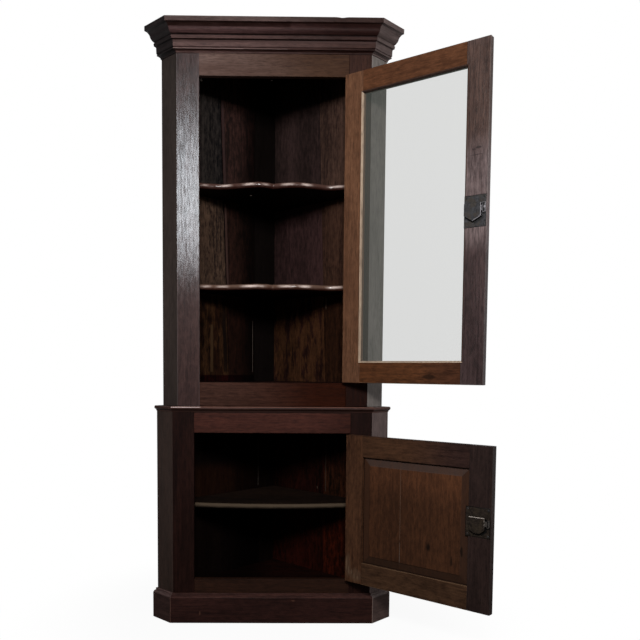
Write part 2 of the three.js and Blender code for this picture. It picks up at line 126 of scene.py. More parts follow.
class Paint:
    """The node tree of a material or of the world. Every node comes from node()."""

    def __init__(self, owner):
        owner.use_nodes = True
        self.owner, self.tree = owner, owner.node_tree
        self.tree.nodes.clear()

    def node(self, kind, settings=None, inputs=None, output=0):
        made = self.tree.nodes.new(kind)
        for key, value in (settings or {}).items():
            setattr(made, key, value)
        for key, value in (inputs or {}).items():
            if isinstance(value, Wire):
                self.tree.links.new(value.socket, made.inputs[key])
            else:
                made.inputs[key].default_value = value
        return Wire(self, made.outputs[output]) if len(made.outputs) else None

    def vector(self, operation, first, second):
        return self.node("ShaderNodeVectorMath", {"operation": operation}, {0: first, 1: second})

    def split(self, vector):
        made = self.node("ShaderNodeSeparateXYZ", None, {0: vector})
        return [Wire(self, made.socket.node.outputs[i]) for i in range(3)]

    def noise(self, vector, stretch, detail, roughness=0.55):
        """Cloudy noise from 0 to 1. stretch is how many lumps it has a metre, for all axes or for each."""
        stretch = stretch if isinstance(stretch, tuple) else (stretch,) * 3
        place = self.vector("MULTIPLY", vector, stretch)
        inputs = {"Vector": place, "Scale": 1.0, "Detail": detail, "Roughness": roughness}
        return self.node("ShaderNodeTexNoise", None, inputs)

    def bands(self, place, density, detail):
        """Uneven bands along one value, with so many a metre."""
        inputs = {"W": place, "Scale": density, "Detail": detail, "Roughness": 0.6}
        return self.node("ShaderNodeTexNoise", {"noise_dimensions": "1D"}, inputs)

    def between(self, value, low, high):
        """0 below low, 1 above high and a smooth step between."""
        inputs = {"Value": value, "From Min": low, "From Max": high}
        return self.node("ShaderNodeMapRange", {"interpolation_type": "SMOOTHSTEP"}, inputs)

    def within(self, value, start, end, fade):
        """1 between start and end, with a smooth step inside each of them."""
        return self.between(value, start, start + fade) * (1 - self.between(value, end - fade, end))

    def mix(self, first, second, factor, blend="MIX"):
        settings = {"data_type": "RGBA", "blend_type": blend}
        return self.node("ShaderNodeMix", settings, {0: factor, 6: first, 7: second}, 2)

    def place(self):
        """Object coordinates."""
        return self.node("ShaderNodeTexCoord", None, None, "Object")

    def surface(self, height=None, **sockets):
        """The finished material: a Principled shader with these sockets, named with underscores for spaces,
        and with bumps of that height in metres."""
        inputs = {key.replace("_", " "): value for key, value in sockets.items()}
        if height:
            bump = {"Strength": 1.0, "Distance": 1.0, "Height": height}
            inputs["Normal"] = self.node("ShaderNodeBump", None, bump)
        shader = self.node("ShaderNodeBsdfPrincipled", None, inputs)
        self.node("ShaderNodeOutputMaterial", None, {"Surface": shader})
        return self.owner


def new_paint(name):
    """The node tree of a new material."""
    return Paint(bpy.data.materials.new(name))


def length(first, second):
    """How long a vector with these two parts is."""
    return (first * first + second * second) ** 0.5


# Axes of the boards: along the grain, then square to the wide face

UP, RIGHT, BACK = (0, 0, 1), (1, 0, 0), (0, 1, 0)
HALF_ROOT = math.sqrt(0.5)
WALL_OUT = {"left": (-HALF_ROOT, HALF_ROOT, 0), "right": (HALF_ROOT, HALF_ROOT, 0)}
CANT_OUT = {"left": (-HALF_ROOT, -HALF_ROOT, 0), "right": (HALF_ROOT, -HALF_ROOT, 0)}


class Door:
    """Places on a door: across from its hinge edge, deep from its front face, and up from the floor."""

    def __init__(self, name):
        joint = next(j for j in frame["joints"] if j["name"] == f"{name}_hinge")
        self.name, self.body, self.pin = name, joint["child"], joint["pos_m"]
        turn = math.radians(-joint["range_deg"][0])
        self.across = (-math.cos(turn), -math.sin(turn), 0)
        self.deep = (-math.sin(turn), math.cos(turn), 0)

    def place(self, across, deep, up):
        """Pin + (edge + across) along the door + (proud + deep) square to it, at that height."""
        across, deep = np.asarray(across, float), np.asarray(deep, float)
        a, d, z = np.broadcast_arrays(DOOR_EDGE + across, PIN_PROUD + deep, up)
        x = self.pin[0] + a * self.across[0] + d * self.deep[0]
        y = self.pin[1] + a * self.across[1] + d * self.deep[1]
        return np.stack([x, y, z], -1)


upper_door, lower_door = Door("upper_door"), Door("lower_door")


def board_space(node, grain, face):
    """The board's own axes, its middle and its half sizes, measured on its solid."""
    across = np.cross(face, grain)
    axes = np.array([grain, across, face], float)
    solid = nodes[node].data
    points = np.empty(len(solid.vertices) * 3, np.float32)
    solid.vertices.foreach_get("co", points)
    local = points.reshape(-1, 3) @ axes.T
    low, high = local.min(0), local.max(0)
    return axes, (low + high) / 2 @ axes, (high - low) / 2


# Finishes. Each tone is a light and a dark of the grain, as a screen shows them in plain light; rub is the
# colour of the arrises and worn how much of it they have, fleck how strongly short dark dashes show, and
# mottle how much small clouds count beside the grain. A pale rub is partly wear and partly a painted
# highlight on the arris, and a dark rub partly dirt and partly painted shade.

# How much paler than the light a rub is unless it has a colour, and how much darker than the dark a pore
RUB_PALER, PORE_DARKER = 1.35, 0.4


def tone(light, dark, rub=None, worn=0.25, rough=0.55, coat=0.0, shine=0.1, broad=0.3, fleck=0.5, mottle=0.3):
    rub = rub or [c * RUB_PALER for c in light]
    return {"light": linear(*light), "dark": linear(*dark), "rub": linear(*rub),
            "pore": linear(*[c * PORE_DARKER for c in dark]), "worn": worn, "rough": rough, "coat": coat,
            "shine": shine, "broad": broad, "fleck": fleck, "mottle": mottle}


# Dark arris colours: dirt along the frame's joints together with painted shade there, and the dark of the
# gaps between the back boards.
JOINT_DIRT_AND_SHADE, GAP_DARK = (9, 5, 4), (5, 3, 2)
# Black for painted shadow on the locks and in the keyholes, a shelf's underside in painted shade, and the
# pale of the painted highlights on the nosings.
BLACK, UNDERSIDE_SHADE, NOSING_GLINT = linear(6, 5, 5), linear(7, 3, 3), linear(196, 178, 170)
GLAZED = {"rough": 0.65, "shine": 0.05, "fleck": 0.35, "mottle": 0.5}
PANELLED = {"rough": 0.7, "shine": 0.05, "fleck": 0.35, "mottle": 0.6}
WALL = {"rough": 0.85, "shine": 0.03, "broad": 0.5}
LOW_WALL = {"rough": 0.9, "shine": 0.02, "mottle": 0.7, "broad": 0.5}
LOWER_STILE = tone((36, 18, 14), (15, 6, 5), JOINT_DIRT_AND_SHADE, 0.3, shine=0.04)
WAIST = tone((74, 46, 38), (38, 21, 16), shine=0.15)
DARK_BOARD = tone((14, 7, 5), (5, 2, 2), rough=0.9, shine=0.02)
SHAPED_SHELF = tone((66, 43, 35), (32, 18, 14), worn=0, rough=0.5, coat=0.9, shine=0.05)
PLAIN_SHELF = tone((34, 22, 16), (12, 7, 5), worn=0, rough=0.7, shine=0.05, mottle=0.6)
# A pale and a dark copy of the bead's wood: painted light on the hinge-side and bottom bars, painted shade on
# the others.
LIT_BEAD = tone((176, 156, 136), (124, 104, 88), worn=0.3, rough=0.7)
SHADED_BEAD = tone((64, 46, 38), (36, 24, 20), worn=0.3, rough=0.7)
PANEL = tone((66, 40, 25), (46, 27, 17), (14, 8, 6), 0.6, rough=0.7, shine=0.05, fleck=0.3, mottle=0.8)
# Many tones hold painted light and shade. The right-hand cornice, returns and plinth are much paler than the
# left-hand ones, and the lower case's pieces are darker than the upper case's. The back boards are darker
# towards the corner of the room, partly as painted shade.
TONES = {
    "cornice_front": tone((80, 56, 52), (48, 30, 28), (100, 84, 80), 0.2, shine=0.08),
    "cornice_left": tone((38, 32, 32), (22, 18, 18)),
    "cornice_right": tone((100, 86, 83), (66, 54, 52), shine=0.15),
    "upper_top_rail": tone((106, 86, 80), (70, 51, 45), JOINT_DIRT_AND_SHADE, 0.3, shine=0.06),
    "upper_bottom_rail": tone((70, 46, 38), (38, 22, 17), JOINT_DIRT_AND_SHADE, 0.4, shine=0.02),
    "upper_left_stile": tone((62, 41, 38), (34, 19, 17), (120, 110, 112), 0.2, 0.5, 1.0, mottle=0.5),
    "upper_right_stile": tone((56, 34, 27), (32, 17, 13), JOINT_DIRT_AND_SHADE, 0.3, shine=0.05),
    "upper_left_return": tone((62, 52, 48), (42, 34, 31), rough=0.6),
    "upper_right_return": tone((116, 109, 105), (88, 82, 78), rough=0.6),
    "waist_moulding_front": WAIST,
    "waist_moulding_left": WAIST,
    "waist_moulding_right": WAIST,
    "lower_top_rail": tone((70, 37, 29), (36, 15, 11), JOINT_DIRT_AND_SHADE, 0.3, shine=0.06),
    "lower_bottom_rail": tone((44, 25, 17), (21, 11, 7), JOINT_DIRT_AND_SHADE, 0.4, shine=0.05),
    "lower_left_stile": LOWER_STILE,
    "lower_right_stile": LOWER_STILE,
    "lower_left_return": tone((56, 42, 37), (36, 26, 22), rough=0.6),
    "lower_right_return": tone((94, 80, 77), (68, 56, 54), rough=0.6),
    "plinth_front": tone((50, 28, 24), (21, 10, 9), (96, 70, 60), 0.6, shine=0.05),
    "plinth_left": tone((60, 42, 39), (37, 24, 22)),
    "plinth_right": tone((78, 62, 58), (48, 37, 34), (150, 138, 132), 0.5),
    "upper_door_hinge_stile": tone((108, 74, 53), (70, 44, 29), (30, 19, 13), 0.3, rough=0.65, mottle=0.4),
    "upper_door_top_rail": tone((98, 62, 41), (62, 37, 23), (24, 14, 9), 0.4, **GLAZED),
    "upper_door_bottom_rail": tone((90, 54, 31), (51, 29, 16), (140, 114, 92), 0.4, **GLAZED),
    "upper_door_lock_stile": tone(
        (112, 96, 95), (54, 40, 39), (110, 102, 100), 0.3, 0.5, shine=0.2, fleck=0.6, mottle=0.35,
    ),
    "lower_door_hinge_stile": tone((74, 48, 32), (44, 26, 17), (18, 11, 7), 0.4, **PANELLED),
    "lower_door_top_rail": tone((70, 46, 31), (42, 26, 17), (14, 8, 6), 0.5, **PANELLED),
    "lower_door_bottom_rail": tone((71, 49, 34), (41, 26, 17), (112, 88, 66), 0.5, **PANELLED),
    "lower_door_lock_stile": tone((44, 31, 28), (21, 13, 12), (56, 50, 48), 0.3, fleck=0.4, mottle=0.5),
    "upper_left_back_board_1": tone((14, 9, 8), (7, 4, 3), GAP_DARK, 0.8, rough=0.85, shine=0.03),
    "upper_left_back_board_2": tone((46, 27, 22), (14, 8, 6), GAP_DARK, 0.8, mottle=0.6, **WALL),
    "upper_left_back_board_3": tone((80, 61, 49), (24, 18, 16), GAP_DARK, 0.8, mottle=0.8, **WALL),
    "upper_right_back_board_1": tone((54, 36, 35), (27, 17, 16), GAP_DARK, 0.6, mottle=0.6, **WALL),
    "upper_right_back_board_2": tone((66, 44, 34), (28, 17, 13), GAP_DARK, 0.6, mottle=0.6, **WALL),
    "lower_right_back_board_1": tone((32, 11, 7), (8, 3, 2), **LOW_WALL),
    "lower_right_back_board_2": tone((42, 16, 10), (8, 3, 2), **LOW_WALL),
    "lower_floor": tone((30, 10, 6), (9, 3, 2), **LOW_WALL),
    "upper_floor": tone((36, 12, 10), (16, 5, 4), rough=0.5),
}
POLISH = {"upper_door": (0.28, 0.22, 0.28), "lower_door": (0.5, 0.4, 0.46)}
FRONT_COAT = 0.35
# The kinds of a zone
ALONG, ACROSS, PATCHES = range(3)


def timber(name, space, tones, seed, knot=None, pith=(0.02, -0.16), lines=(), marks=(), zones=(), nosing=None,
           bevels=None, waxed=None, polish=None):
    """Old wood in a board's own axes. Growth rings are uneven bands of the distance from a slanting pith,
    broken by long fibres, short dark dashes and pores, and a knot (along, across, size) bends the rings.
    Places are points of the part, and colours are as a screen shows them. A line is (point, point, wide,
    colour), and a mark is (point, along, across, colour, amount) with its two radii. A zone is (point,
    point, fade, factors, amount, kind) and multiplies the colour between two places along the grain, across
    it, or along it in patches. nosing gives a shelf's two edge colours, a lit top and a shaded foot painted
    in, and its spots of painted highlight (x, half length, amount); bevels a panel's rim and bevel widths and
    the colours of its four bevels, which paint each bevel's light or shade; waxed the two places between
    which the coat of wax is kept; and polish the factors of a door's front face."""
    axes, middle, half = space

    def on_board(point):
        return axes @ (np.array(point) - middle)

    p = new_paint(name)
    turn = Matrix([axes[:, i].tolist() for i in range(3)]).to_euler()
    local = p.node("ShaderNodeMapping", {"vector_type": "TEXTURE"},
                   {"Vector": p.place(), "Location": middle.tolist(), "Rotation": turn})
    own = p.vector("ADD", local, (seed * 1.7, seed * 0.61, seed * 0.37))
    along, across, deep = p.split(local)

    wander = p.noise(own, (0.8, 2.5, 2.5), 2) - 0.5
    shifted = across + wander * 0.014 - pith[0]
    rise = deep + along * 0.03 - pith[1]
    reach = length(shifted, rise)
    if knot:
        knot_along, knot_across, size = knot
        gone = length((along - knot_along) * 0.55, across - knot_across)
        reach = reach + (1 - p.between(gone, size * 0.4, size * 3.2)) * size * 1.1

    rings = p.bands(reach + seed, 120, 2)
    fibres = p.noise(own, (3.5, 150, 150), 3, 0.6)
    threads = p.noise(own, (14, 800, 800), 2)
    broad = p.noise(own, (0.9, 6, 6), 2)
    dashes = p.between(p.noise(own, (30, 480, 480), 2, 0.6), 0.5, 0.66)
    pores = p.between(p.noise(own, (45, 1300, 1300), 1), 0.6, 0.7)
    clouds = p.noise(own, (32, 80, 80), 4, 0.7)
    weights = {"rings": 0.2, "fibres": 0.3, "threads": 0.22}
    centre = (sum(weights.values()) + tones["broad"] + tones["mottle"]) / 2
    grain = p.between(rings * weights["rings"] + fibres * weights["fibres"] + threads * weights["threads"]
                      + broad * tones["broad"] + clouds * tones["mottle"], centre - 0.19, centre + 0.19)
    colour = p.mix(tones["dark"], tones["light"], grain)
    colour = p.mix(colour, tones["pore"], (dashes * tones["fleck"]).most(pores * 0.5))
    stain = p.between(p.noise(own, (1.8, 5, 5), 3, 0.6), 0.5, 0.75)
    colour = p.mix(colour, tones["dark"], stain * 0.45)
    if knot:
        colour = p.mix(colour, tones["pore"], (1 - p.between(gone, size * 0.3, size)) * 0.8)
    for first, last, fade, factors, amount, kind in zones:
        over = int(kind == ACROSS)
        start, end = sorted((on_board(first)[over], on_board(last)[over]))
        run = p.within(across if over else along, start, end, fade)
        if kind == PATCHES:
            run = run * p.between(p.noise(own, (11, 38, 38), 4, 0.65), 0.46, 0.6)
        colour = p.mix(colour, (*factors, 1), run * amount, "MULTIPLY")

    ends, sides, faces = (size - abs(value) for size, value in zip(half, (along, across, deep)))
    border = ends.least(sides).most(ends.most(sides).least(faces))
    ragged = p.noise(own, (20, 60, 60), 3)
    rub = (1 - p.between(border, 0.0004, ragged * 0.005)) * tones["worn"]
    colour = p.mix(colour, tones["rub"], rub)
    for first, last, wide, drawn in lines:
        start, end = sorted((tuple(on_board(first)), tuple(on_board(last))))
        slope = (end[1] - start[1]) / (end[0] - start[0])
        aside = across - (along - start[0]) * slope - start[1]
        edge = p.between(abs(aside + wander * 0.004), wide * 0.4, wide)
        run = p.within(along, start[0], end[0], 0.01)
        colour = p.mix(colour, linear(*drawn), (1 - edge) * run * (ragged * 0.8 + 0.5))
    if bevels:
        rim, wide, drawn = bevels
        reaches = [half[0] - along, half[0] + along, half[1] - across, half[1] + across]
        nearest = reaches[0].least(reaches[1]).least(reaches[2].least(reaches[3]))
        sloping = (1 - p.between(nearest, rim + wide - 0.001, rim + wide + 0.001)) * (ragged * 0.5 + 0.5)
        for reach, shown in zip(reaches, drawn):
            near = 1 - p.between(reach - nearest, 0.0002, 0.0012)
            colour = p.mix(colour, linear(*shown), sloping * near)
        colour = p.mix(colour, tones["rub"], 1 - p.between(nearest, rim + 0.0008, rim + 0.0035))
    for point, long, wide, drawn, amount in marks:
        mark_along, mark_across, _ = on_board(point)
        gone = length((along - mark_along) * (1 / long), (across - mark_across) * (1 / wide))
        colour = p.mix(colour, linear(*drawn), (1 - p.between(gone + ragged - 0.5, 0.5, 1.0)) * amount)
    streaks = p.noise(own, (30, 420, 420), 3, 0.7)
    coat = p.between(streaks * 0.7 + fibres * 0.3, 0.36, 0.6) * (tones["coat"] * 0.75) + tones["coat"] * 0.25
    if polish:
        front = 1 - p.between(deep, 0.0008 - half[2], 0.0016 - half[2])
        colour = p.mix(colour, (*polish, 1), front, "MULTIPLY")
        coat = front * FRONT_COAT
    if waxed:
        low_end, high_end = sorted(on_board(place)[0] for place in waxed)
        coat = coat * (p.between(along + (clouds - 0.5) * 0.3, low_end, high_end) * 0.9 + 0.1)
    # A shelf's nosing: a lit top and a shaded foot, painted in, pale painted highlights where it faces the
    # light, and its underside in painted shade.
    if nosing:
        high, low, glint_spots = nosing
        patches = p.noise(own, (26, 26, 40), 3, 0.7)
        height = p.between(deep + (patches - 0.5) * 0.008, -half[2] * 0.8, half[2] * 0.4)
        nosing_shading = p.mix(linear(*low), linear(*high), height)
        crest = 1 - p.between(abs(deep - 0.002 + (patches - 0.5) * 0.006), half[2] * 0.1, half[2] * 0.62)
        for spot, long, amount in glint_spots:
            near = 1 - p.between(abs(along - spot) + (patches - 0.5) * 0.02, 0.0, long * 1.3)
            nosing_shading = p.mix(nosing_shading, NOSING_GLINT, near * crest * amount)
        colour = p.mix(nosing_shading, colour, p.between(abs(deep), half[2] - 0.0012, half[2] - 0.0001))
        below = p.between(deep, -half[2] + 0.0001, -half[2] + 0.0012)
        colour = p.mix(UNDERSIDE_SHADE, colour, below)
        coat = p.between(patches, 0.45, 0.6) * below * tones["coat"]

    rough = tones["rough"] + (fibres - 0.5) * 0.2 + stain * 0.1 + pores * 0.1
    waves = p.noise(own, (1.2, 30, 30), 2)
    height = fibres * 0.0001 + threads * 0.00004 + waves * 0.0005 - pores * 0.00012 - dashes * 0.00008
    return p.surface(height, Base_Color=colour, Roughness=rough, Specular_IOR_Level=tones["shine"],
                     Coat_Weight=coat, Coat_Roughness=0.22)


def iron(name, pale=0.0):
    """Dark wrought iron: mottled black oxide with brown rust in the lows and bright spots worn by rubbing."""
    p = new_paint(name)
    place = p.place()
    mottle = p.noise(place, 120, 5, 0.65)
    rust = p.between(p.noise(place, 60, 4), 0.52, 0.68)
    bright = p.between(mottle, 0.45, 0.8)
    colour = p.mix(linear(58 + pale, 57 + pale, 58 + pale), linear(84 + pale, 82 + pale, 81 + pale), bright)
    colour = p.mix(colour, linear(62, 48, 42), rust * 0.5)
    height = mottle * 0.00035 + p.noise(place, 900, 3) * 0.00006
    return p.surface(height, Base_Color=colour, Metallic=0.35 - rust * 0.25, Roughness=0.42 + mottle * 0.2)


def old_glass(name):
    """Clear window glass with a faint grey-green cast and the slow waves of an old pane."""
    p = new_paint(name)
    place = p.place()
    waves = p.noise(place, (9, 9, 5), 2)
    dust = p.noise(place, 300, 3)
    return p.surface(waves * 0.0008, Base_Color=linear(98, 103, 97), Roughness=0.05 + dust * 0.06,
                     Alpha=0.18 + dust * 0.02, Specular_IOR_Level=0.5)


# Geometry

def added(name, data):
    """A new object in the scene."""
    thing = bpy.data.objects.new(name, data)
    bpy.context.scene.collection.objects.link(thing)
    return thing


def painted(mesh, material):
    """Gives a mesh that material alone."""
    mesh.materials.clear()
    mesh.materials.append(material)


def finished(name, mesh, body, material, smooth):
    """A new piece: its faces turned outwards, arrises up to that many degrees shaded smooth, and riding on
    its body."""
    work = bmesh.new()
    work.from_mesh(mesh)
    bmesh.ops.remove_doubles(work, verts=work.verts, dist=1e-7)
    bmesh.ops.recalc_face_normals(work, faces=work.faces)
    work.to_mesh(mesh)
    work.free()
    if smooth:
        mesh.shade_smooth()
        mesh.set_sharp_from_angle(angle=math.radians(smooth))
    painted(mesh, material)
    piece = added(name, mesh)
    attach(piece, body)
    return piece


def stand_in(name, mesh, node, material, smooth=None):
    """A new piece in the place of a node, on its body."""
    piece = finished(name, mesh, body_of_node[node], material, smooth)
    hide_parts(node)


def grid(name, points, capped=True):
    """A mesh over an array of points, rows by columns. The rows close on themselves, and capped closes the
    first and the last row with one face each."""
    rows, columns = points.shape[:2]
    index = np.arange(rows * columns).reshape(rows, columns)
    step = np.roll(index, -1, 1)
    quads = np.stack([index[:-1], step[:-1], step[1:], index[1:]], -1).reshape(-1, 4).tolist()
    ends = [index[0, ::-1].tolist(), index[-1].tolist()] if capped else []
    mesh = bpy.data.meshes.new(name)
    mesh.from_pydata(points.reshape(-1, 3).tolist(), [], quads + ends)
    return mesh


# Arrises that are rounded: their least length in widths, and the turn between their faces in radians
SHORTEST, FLATTEST, SHARPEST = 8, 0.4, 1.75


def eased(node, width, material, space=None):
    """A copy of a solid that stands for it. Its arrises are rounded by that width: with its board's axes
    given, only those along the board's outer box, and otherwise all that stand out."""
    mesh = nodes[node].data.copy()
    mesh.name = f"{node}_eased"
    work = bmesh.new()
    work.from_mesh(mesh)
    bmesh.ops.remove_doubles(work, verts=work.verts, dist=1e-6)
    bmesh.ops.dissolve_limit(work, angle_limit=math.radians(0.5), verts=work.verts, edges=work.edges)

    def sides(vertex):
        axes, middle, half = space
        return np.abs(axes @ (np.array(vertex.co) - middle)) > half - 1e-4

    def arris(edge):
        if len(edge.link_faces) != 2 or not edge.is_convex or edge.calc_length() < SHORTEST * width:
            return False
        if not FLATTEST < edge.calc_face_angle() < SHARPEST:
            return False
        return space is None or (sides(edge.verts[0]) & sides(edge.verts[1])).sum() >= 2

    sharp = [edge for edge in work.edges if arris(edge)]
    for face in work.faces:
        face.smooth = False
    turned = bmesh.ops.bevel(work, geom=sharp, offset=width, segments=3, profile=0.5, affect="EDGES",
                             clamp_overlap=False)
    for face in turned["faces"]:
        face.smooth = True
    bmesh.ops.triangulate(work, faces=[face for face in work.faces if len(face.verts) > 4])
    work.to_mesh(mesh)
    work.free()
    stand_in(f"{node}_eased", mesh, node, material)


# Wooden boards, each with its own grain, and where their colour changes

ARRIS = 0.0012
BOARD_KINDS = ("_stile", "_rail", "_return", "_back_board_", "_floor", "_lid")
# The slanting joint of the left wall's outer boards: two heights, and how far along the wall it is there
JOINT_UP, JOINT_ALONG = (0.774, 2.063), (0.253, 0.308)


def board_axes(node):
    """The direction of the grain and the one square to the wide face, from the board's name and body."""
    side = "left" if "_left_" in node else "right"
    door = {"upper_door": upper_door, "lower_door": lower_door}.get(body_of_node[node])
    if "_return" in node:
        return UP, CANT_OUT[side]
    if "_back_board_" in node:
        return UP, WALL_OUT[side]
    if node.endswith(("_floor", "_lid")):
        return RIGHT, UP
    if node.endswith("_rail"):
        return (door.across, door.deep) if door else (RIGHT, BACK)
    return UP, door.deep if door else BACK


def rising(low, high, fade, factors, amount=1, kind=ALONG):
    """A zone between two heights."""
    return (0, 0, low), (0, 0, high), fade, factors, amount, kind


def shade_rightward(start, fade, factors):
    """A zone of painted shade from there to the right end, away from the light."""
    return (start, 0, 0), (0.9, 0, 0), fade, factors, 1, ALONG


def outward(door, start, end, fade, factors):
    """A zone on a door between two distances from its hinge edge."""
    return door.place(start, 0, 0), door.place(end, 0, 0), fade, factors, 1, ALONG


def level(start, end, up, wide, colour):
    """A line at that height."""
    return (start, 0, up), (end, 0, up), wide, colour


def upright(x, y, low, high, wide, colour):
    """A line that rises there from low to high."""
    return (x, y, low), (x, y, high), wide, colour


def on_left_wall(along, up):
    """A place on the left wall, that far from the corner of the room."""
    return -along * HALF_ROOT, CORNER_Y - along * HALF_ROOT, up


def corner_shade(reach, fade, factors):
    """A zone of painted shade on the left wall, from the corner of the room to that far along it."""
    return on_left_wall(-0.1, 0), on_left_wall(reach, 0), fade, factors, 1, ACROSS


def beside_joint(beside, low, high, wide, colour):
    """A line that far beside the slanting joint of the left wall's outer boards, away from the corner."""
    ends = [on_left_wall(np.interp(up, JOINT_UP, JOINT_ALONG) + beside, up) for up in (low, high)]
    return *ends, wide, colour


def door_marks(door, colour, *spots, deep=DOOR_THICK):
    """Marks of one colour on a door's inner side. A spot is (across, up, long, wide, amount)."""
    return [(door.place(across, deep, up), long, wide, colour, amount)
            for across, up, long, wide, amount in spots]


# The upper case's low and high bay: where each begins and ends, and its fade. The zones of each bay make the
# back boards lighter or darker, partly as painted light and shade.
LOW_BAY, HIGH_BAY = (0.7, 1.2, 0.02), (1.56, 2.2, 0.02)
RED_FOOT = rising(0.7, 0.8845, 0.004, (0.34, 0.1, 0.2))
LEFT_SHADE = ((-0.6, 0, 0), (0.02, 0, 0), 0.12, (0.3, 0.3, 0.3), 1, ALONG)
WARM_DARK = (0.46, 0.34, 0.22)
OPEN_JOINT = beside_joint(0.0005, 0.9, 2.04, 0.0028, (4, 2, 2))
SCRATCHES = ((0.014, 0.215, 0.05, 0.016, 0.12), (0.046, 0.185, 0.03, 0.03, 0.12),
             (0.008, 0.222, 0.03, 0.003, 0.25), (0.017, 0.200, 0.018, 0.003, 0.25),
             (0.029, 0.196, 0.012, 0.0025, 0.25), (0.041, 0.182, 0.012, 0.003, 0.22),
             (0.055, 0.178, 0.008, 0.003, 0.2))
BOARD_MORE = {
    "upper_left_stile": {
        "waxed": ((0, 0, 1.12), (0, 0, 1.34)),
        "marks": [((-0.325, 0.035, 1.727), 0.0075, 0.006, (170, 166, 170), 0.35),
                  ((-0.323, 0.035, 1.726), 0.003, 0.0028, (50, 40, 42), 0.8)],
    },
    # Painted shadow of the upper door on the stile's lower end.
    "upper_right_stile": {"zones": [rising(0.5, 0.90, 0.03, (0.42, 0.2, 0.1))]},
    "upper_top_rail": {"zones": [shade_rightward(-0.32, 0.5, (0.36, 0.25, 0.15))]},
    "upper_bottom_rail": {"zones": [shade_rightward(-0.22, 0.4, (0.42, 0.2, 0.1))]},
    "upper_left_return": {"zones": [rising(1.5, 3.0, 0.3, (0.75, 0.78, 0.78))]},
    "lower_top_rail": {
        # A dark line under the waist moulding: painted shade.
        "lines": [level(-0.4, 0.4, 0.754, 0.0028, (16, 7, 5))],
        "zones": [shade_rightward(0.1, 0.25, (0.5, 0.4, 0.34))],
    },
    "upper_left_back_board_2": {
        # The first line is painted light through a crack between the boards.
        "lines": [upright(-0.0805, 0.388, 0.890, 1.104, 0.0014, (74, 66, 60)),
                  beside_joint(-0.008, 1.215, 1.545, 0.007, (56, 40, 36)),
                  beside_joint(-0.009, 1.575, 2.04, 0.008, (50, 36, 35)), OPEN_JOINT],
        "zones": [rising(*LOW_BAY, (0.75, 0.65, 0.55)), RED_FOOT, rising(*HIGH_BAY, (2.2, 2.4, 2.7)),
                  corner_shade(0.245, 0.13, (0.15, 0.12, 0.12))],
        "marks": [((-0.197, 0.270, 1.46), 0.05, 0.016, (66, 50, 34), 0.5)],
    },
    "upper_left_back_board_3": {
        "lines": [upright(-0.2383, 0.2297, 0.890, 0.997, 0.0028, (4, 2, 2)),
                  upright(-0.2303, 0.2377, 0.890, 1.08, 0.009, (56, 40, 26)),
                  beside_joint(0.016, 0.89, 1.185, 0.014, (14, 8, 6)), OPEN_JOINT],
        "zones": [rising(*LOW_BAY, WARM_DARK), RED_FOOT, rising(*LOW_BAY, (0.4, 0.34, 0.4), 1, PATCHES),
                  rising(*HIGH_BAY, (0.32, 0.46, 0.64), 0.95)],
    },
    "upper_right_back_board_1": {
        "zones": [rising(*LOW_BAY, (1.35, 1.1, 0.5)), rising(*LOW_BAY, (0.34, 0.3, 0.5), 1, PATCHES),
                  rising(*HIGH_BAY, (0.93, 1.1, 1.05))],
    },
    "upper_right_back_board_2": {
        # Painted light through a crack between the boards.
        "lines": [upright(0.1974, 0.2706, 1.136, 1.190, 0.0014, (120, 104, 90))],
        "zones": [rising(*LOW_BAY, WARM_DARK, 0.9), rising(*HIGH_BAY, (1.4, 1.6, 1.8))],
    },
    "lower_left_back_board_2": {
        # Painted light through a crack between the boards; the first zone is a lit band above the lower
        # shelf, painted.
        "lines": [upright(-0.0562, 0.4118, 0.425, 0.615, 0.0034, (44, 40, 37))],
        "zones": [rising(0.38, 0.56, 0.05, (3.6, 2.9, 2.0)), corner_shade(0.30, 0.14, (0.3, 0.26, 0.3))],
    },
    "lower_right_back_board_1": {
        "marks": [((0.172, 0.2961, 0.440), 0.008, 0.004, (66, 52, 44), 0.6)],
        "zones": [rising(0, 0.41, 0.01, (1.7, 1.2, 1))],
    },
    "lower_right_back_board_2": {
        # Painted light through a crack between the boards.
        "lines": [upright(0.2022, 0.2658, 0.425, 0.658, 0.0016, (56, 46, 40))],
        # Its zones paint light and shade round the lower shelf's shadow.
        "zones": [rising(0.41, 0.80, 0.01, (0.5, 0.6, 0.6)), rising(-0.2, 0.58, 0.14, (4.6, 5.2, 4)),
                  rising(0, 0.41, 0.01, (0.5, 0.3, 0.25)), rising(0.24, 0.50, 0.06, (0.6, 0.6, 0.6))],
    },
    "upper_door_lock_stile": {
        # Darker above and below the lock, which leaves a painted sheen round it on the pale stile.
        "zones": [rising(0.8, 1.34, 0.08, (0.34, 0.27, 0.27)), rising(1.54, 2.0, 0.12, (0.53, 0.42, 0.34))],
        "marks": [*door_marks(upper_door, (20, 12, 12), (0.4835, 1.5905, 0.004, 0.013, 0.7),
                              (0.470, 1.586, 0.003, 0.008, 0.6)),
                  *door_marks(upper_door, (30, 20, 20), (0.478, 1.569, 0.0018, 0.026, 0.6))],
    },
    "upper_door_bottom_rail": {
        "zones": [outward(upper_door, 0.25, 0.6, 0.15, (0.72, 0.74, 0.95))],
        "marks": door_marks(upper_door, (26, 15, 9), (0.335, 0.885, 0.030, 0.010, 0.7)),
    },
    "lower_door_hinge_stile": {"marks": door_marks(lower_door, (118, 100, 82), *SCRATCHES)},
    "lower_door_top_rail": {"zones": [outward(lower_door, 0.2, 0.7, 0.25, (0.55, 0.6, 0.95))]},
}

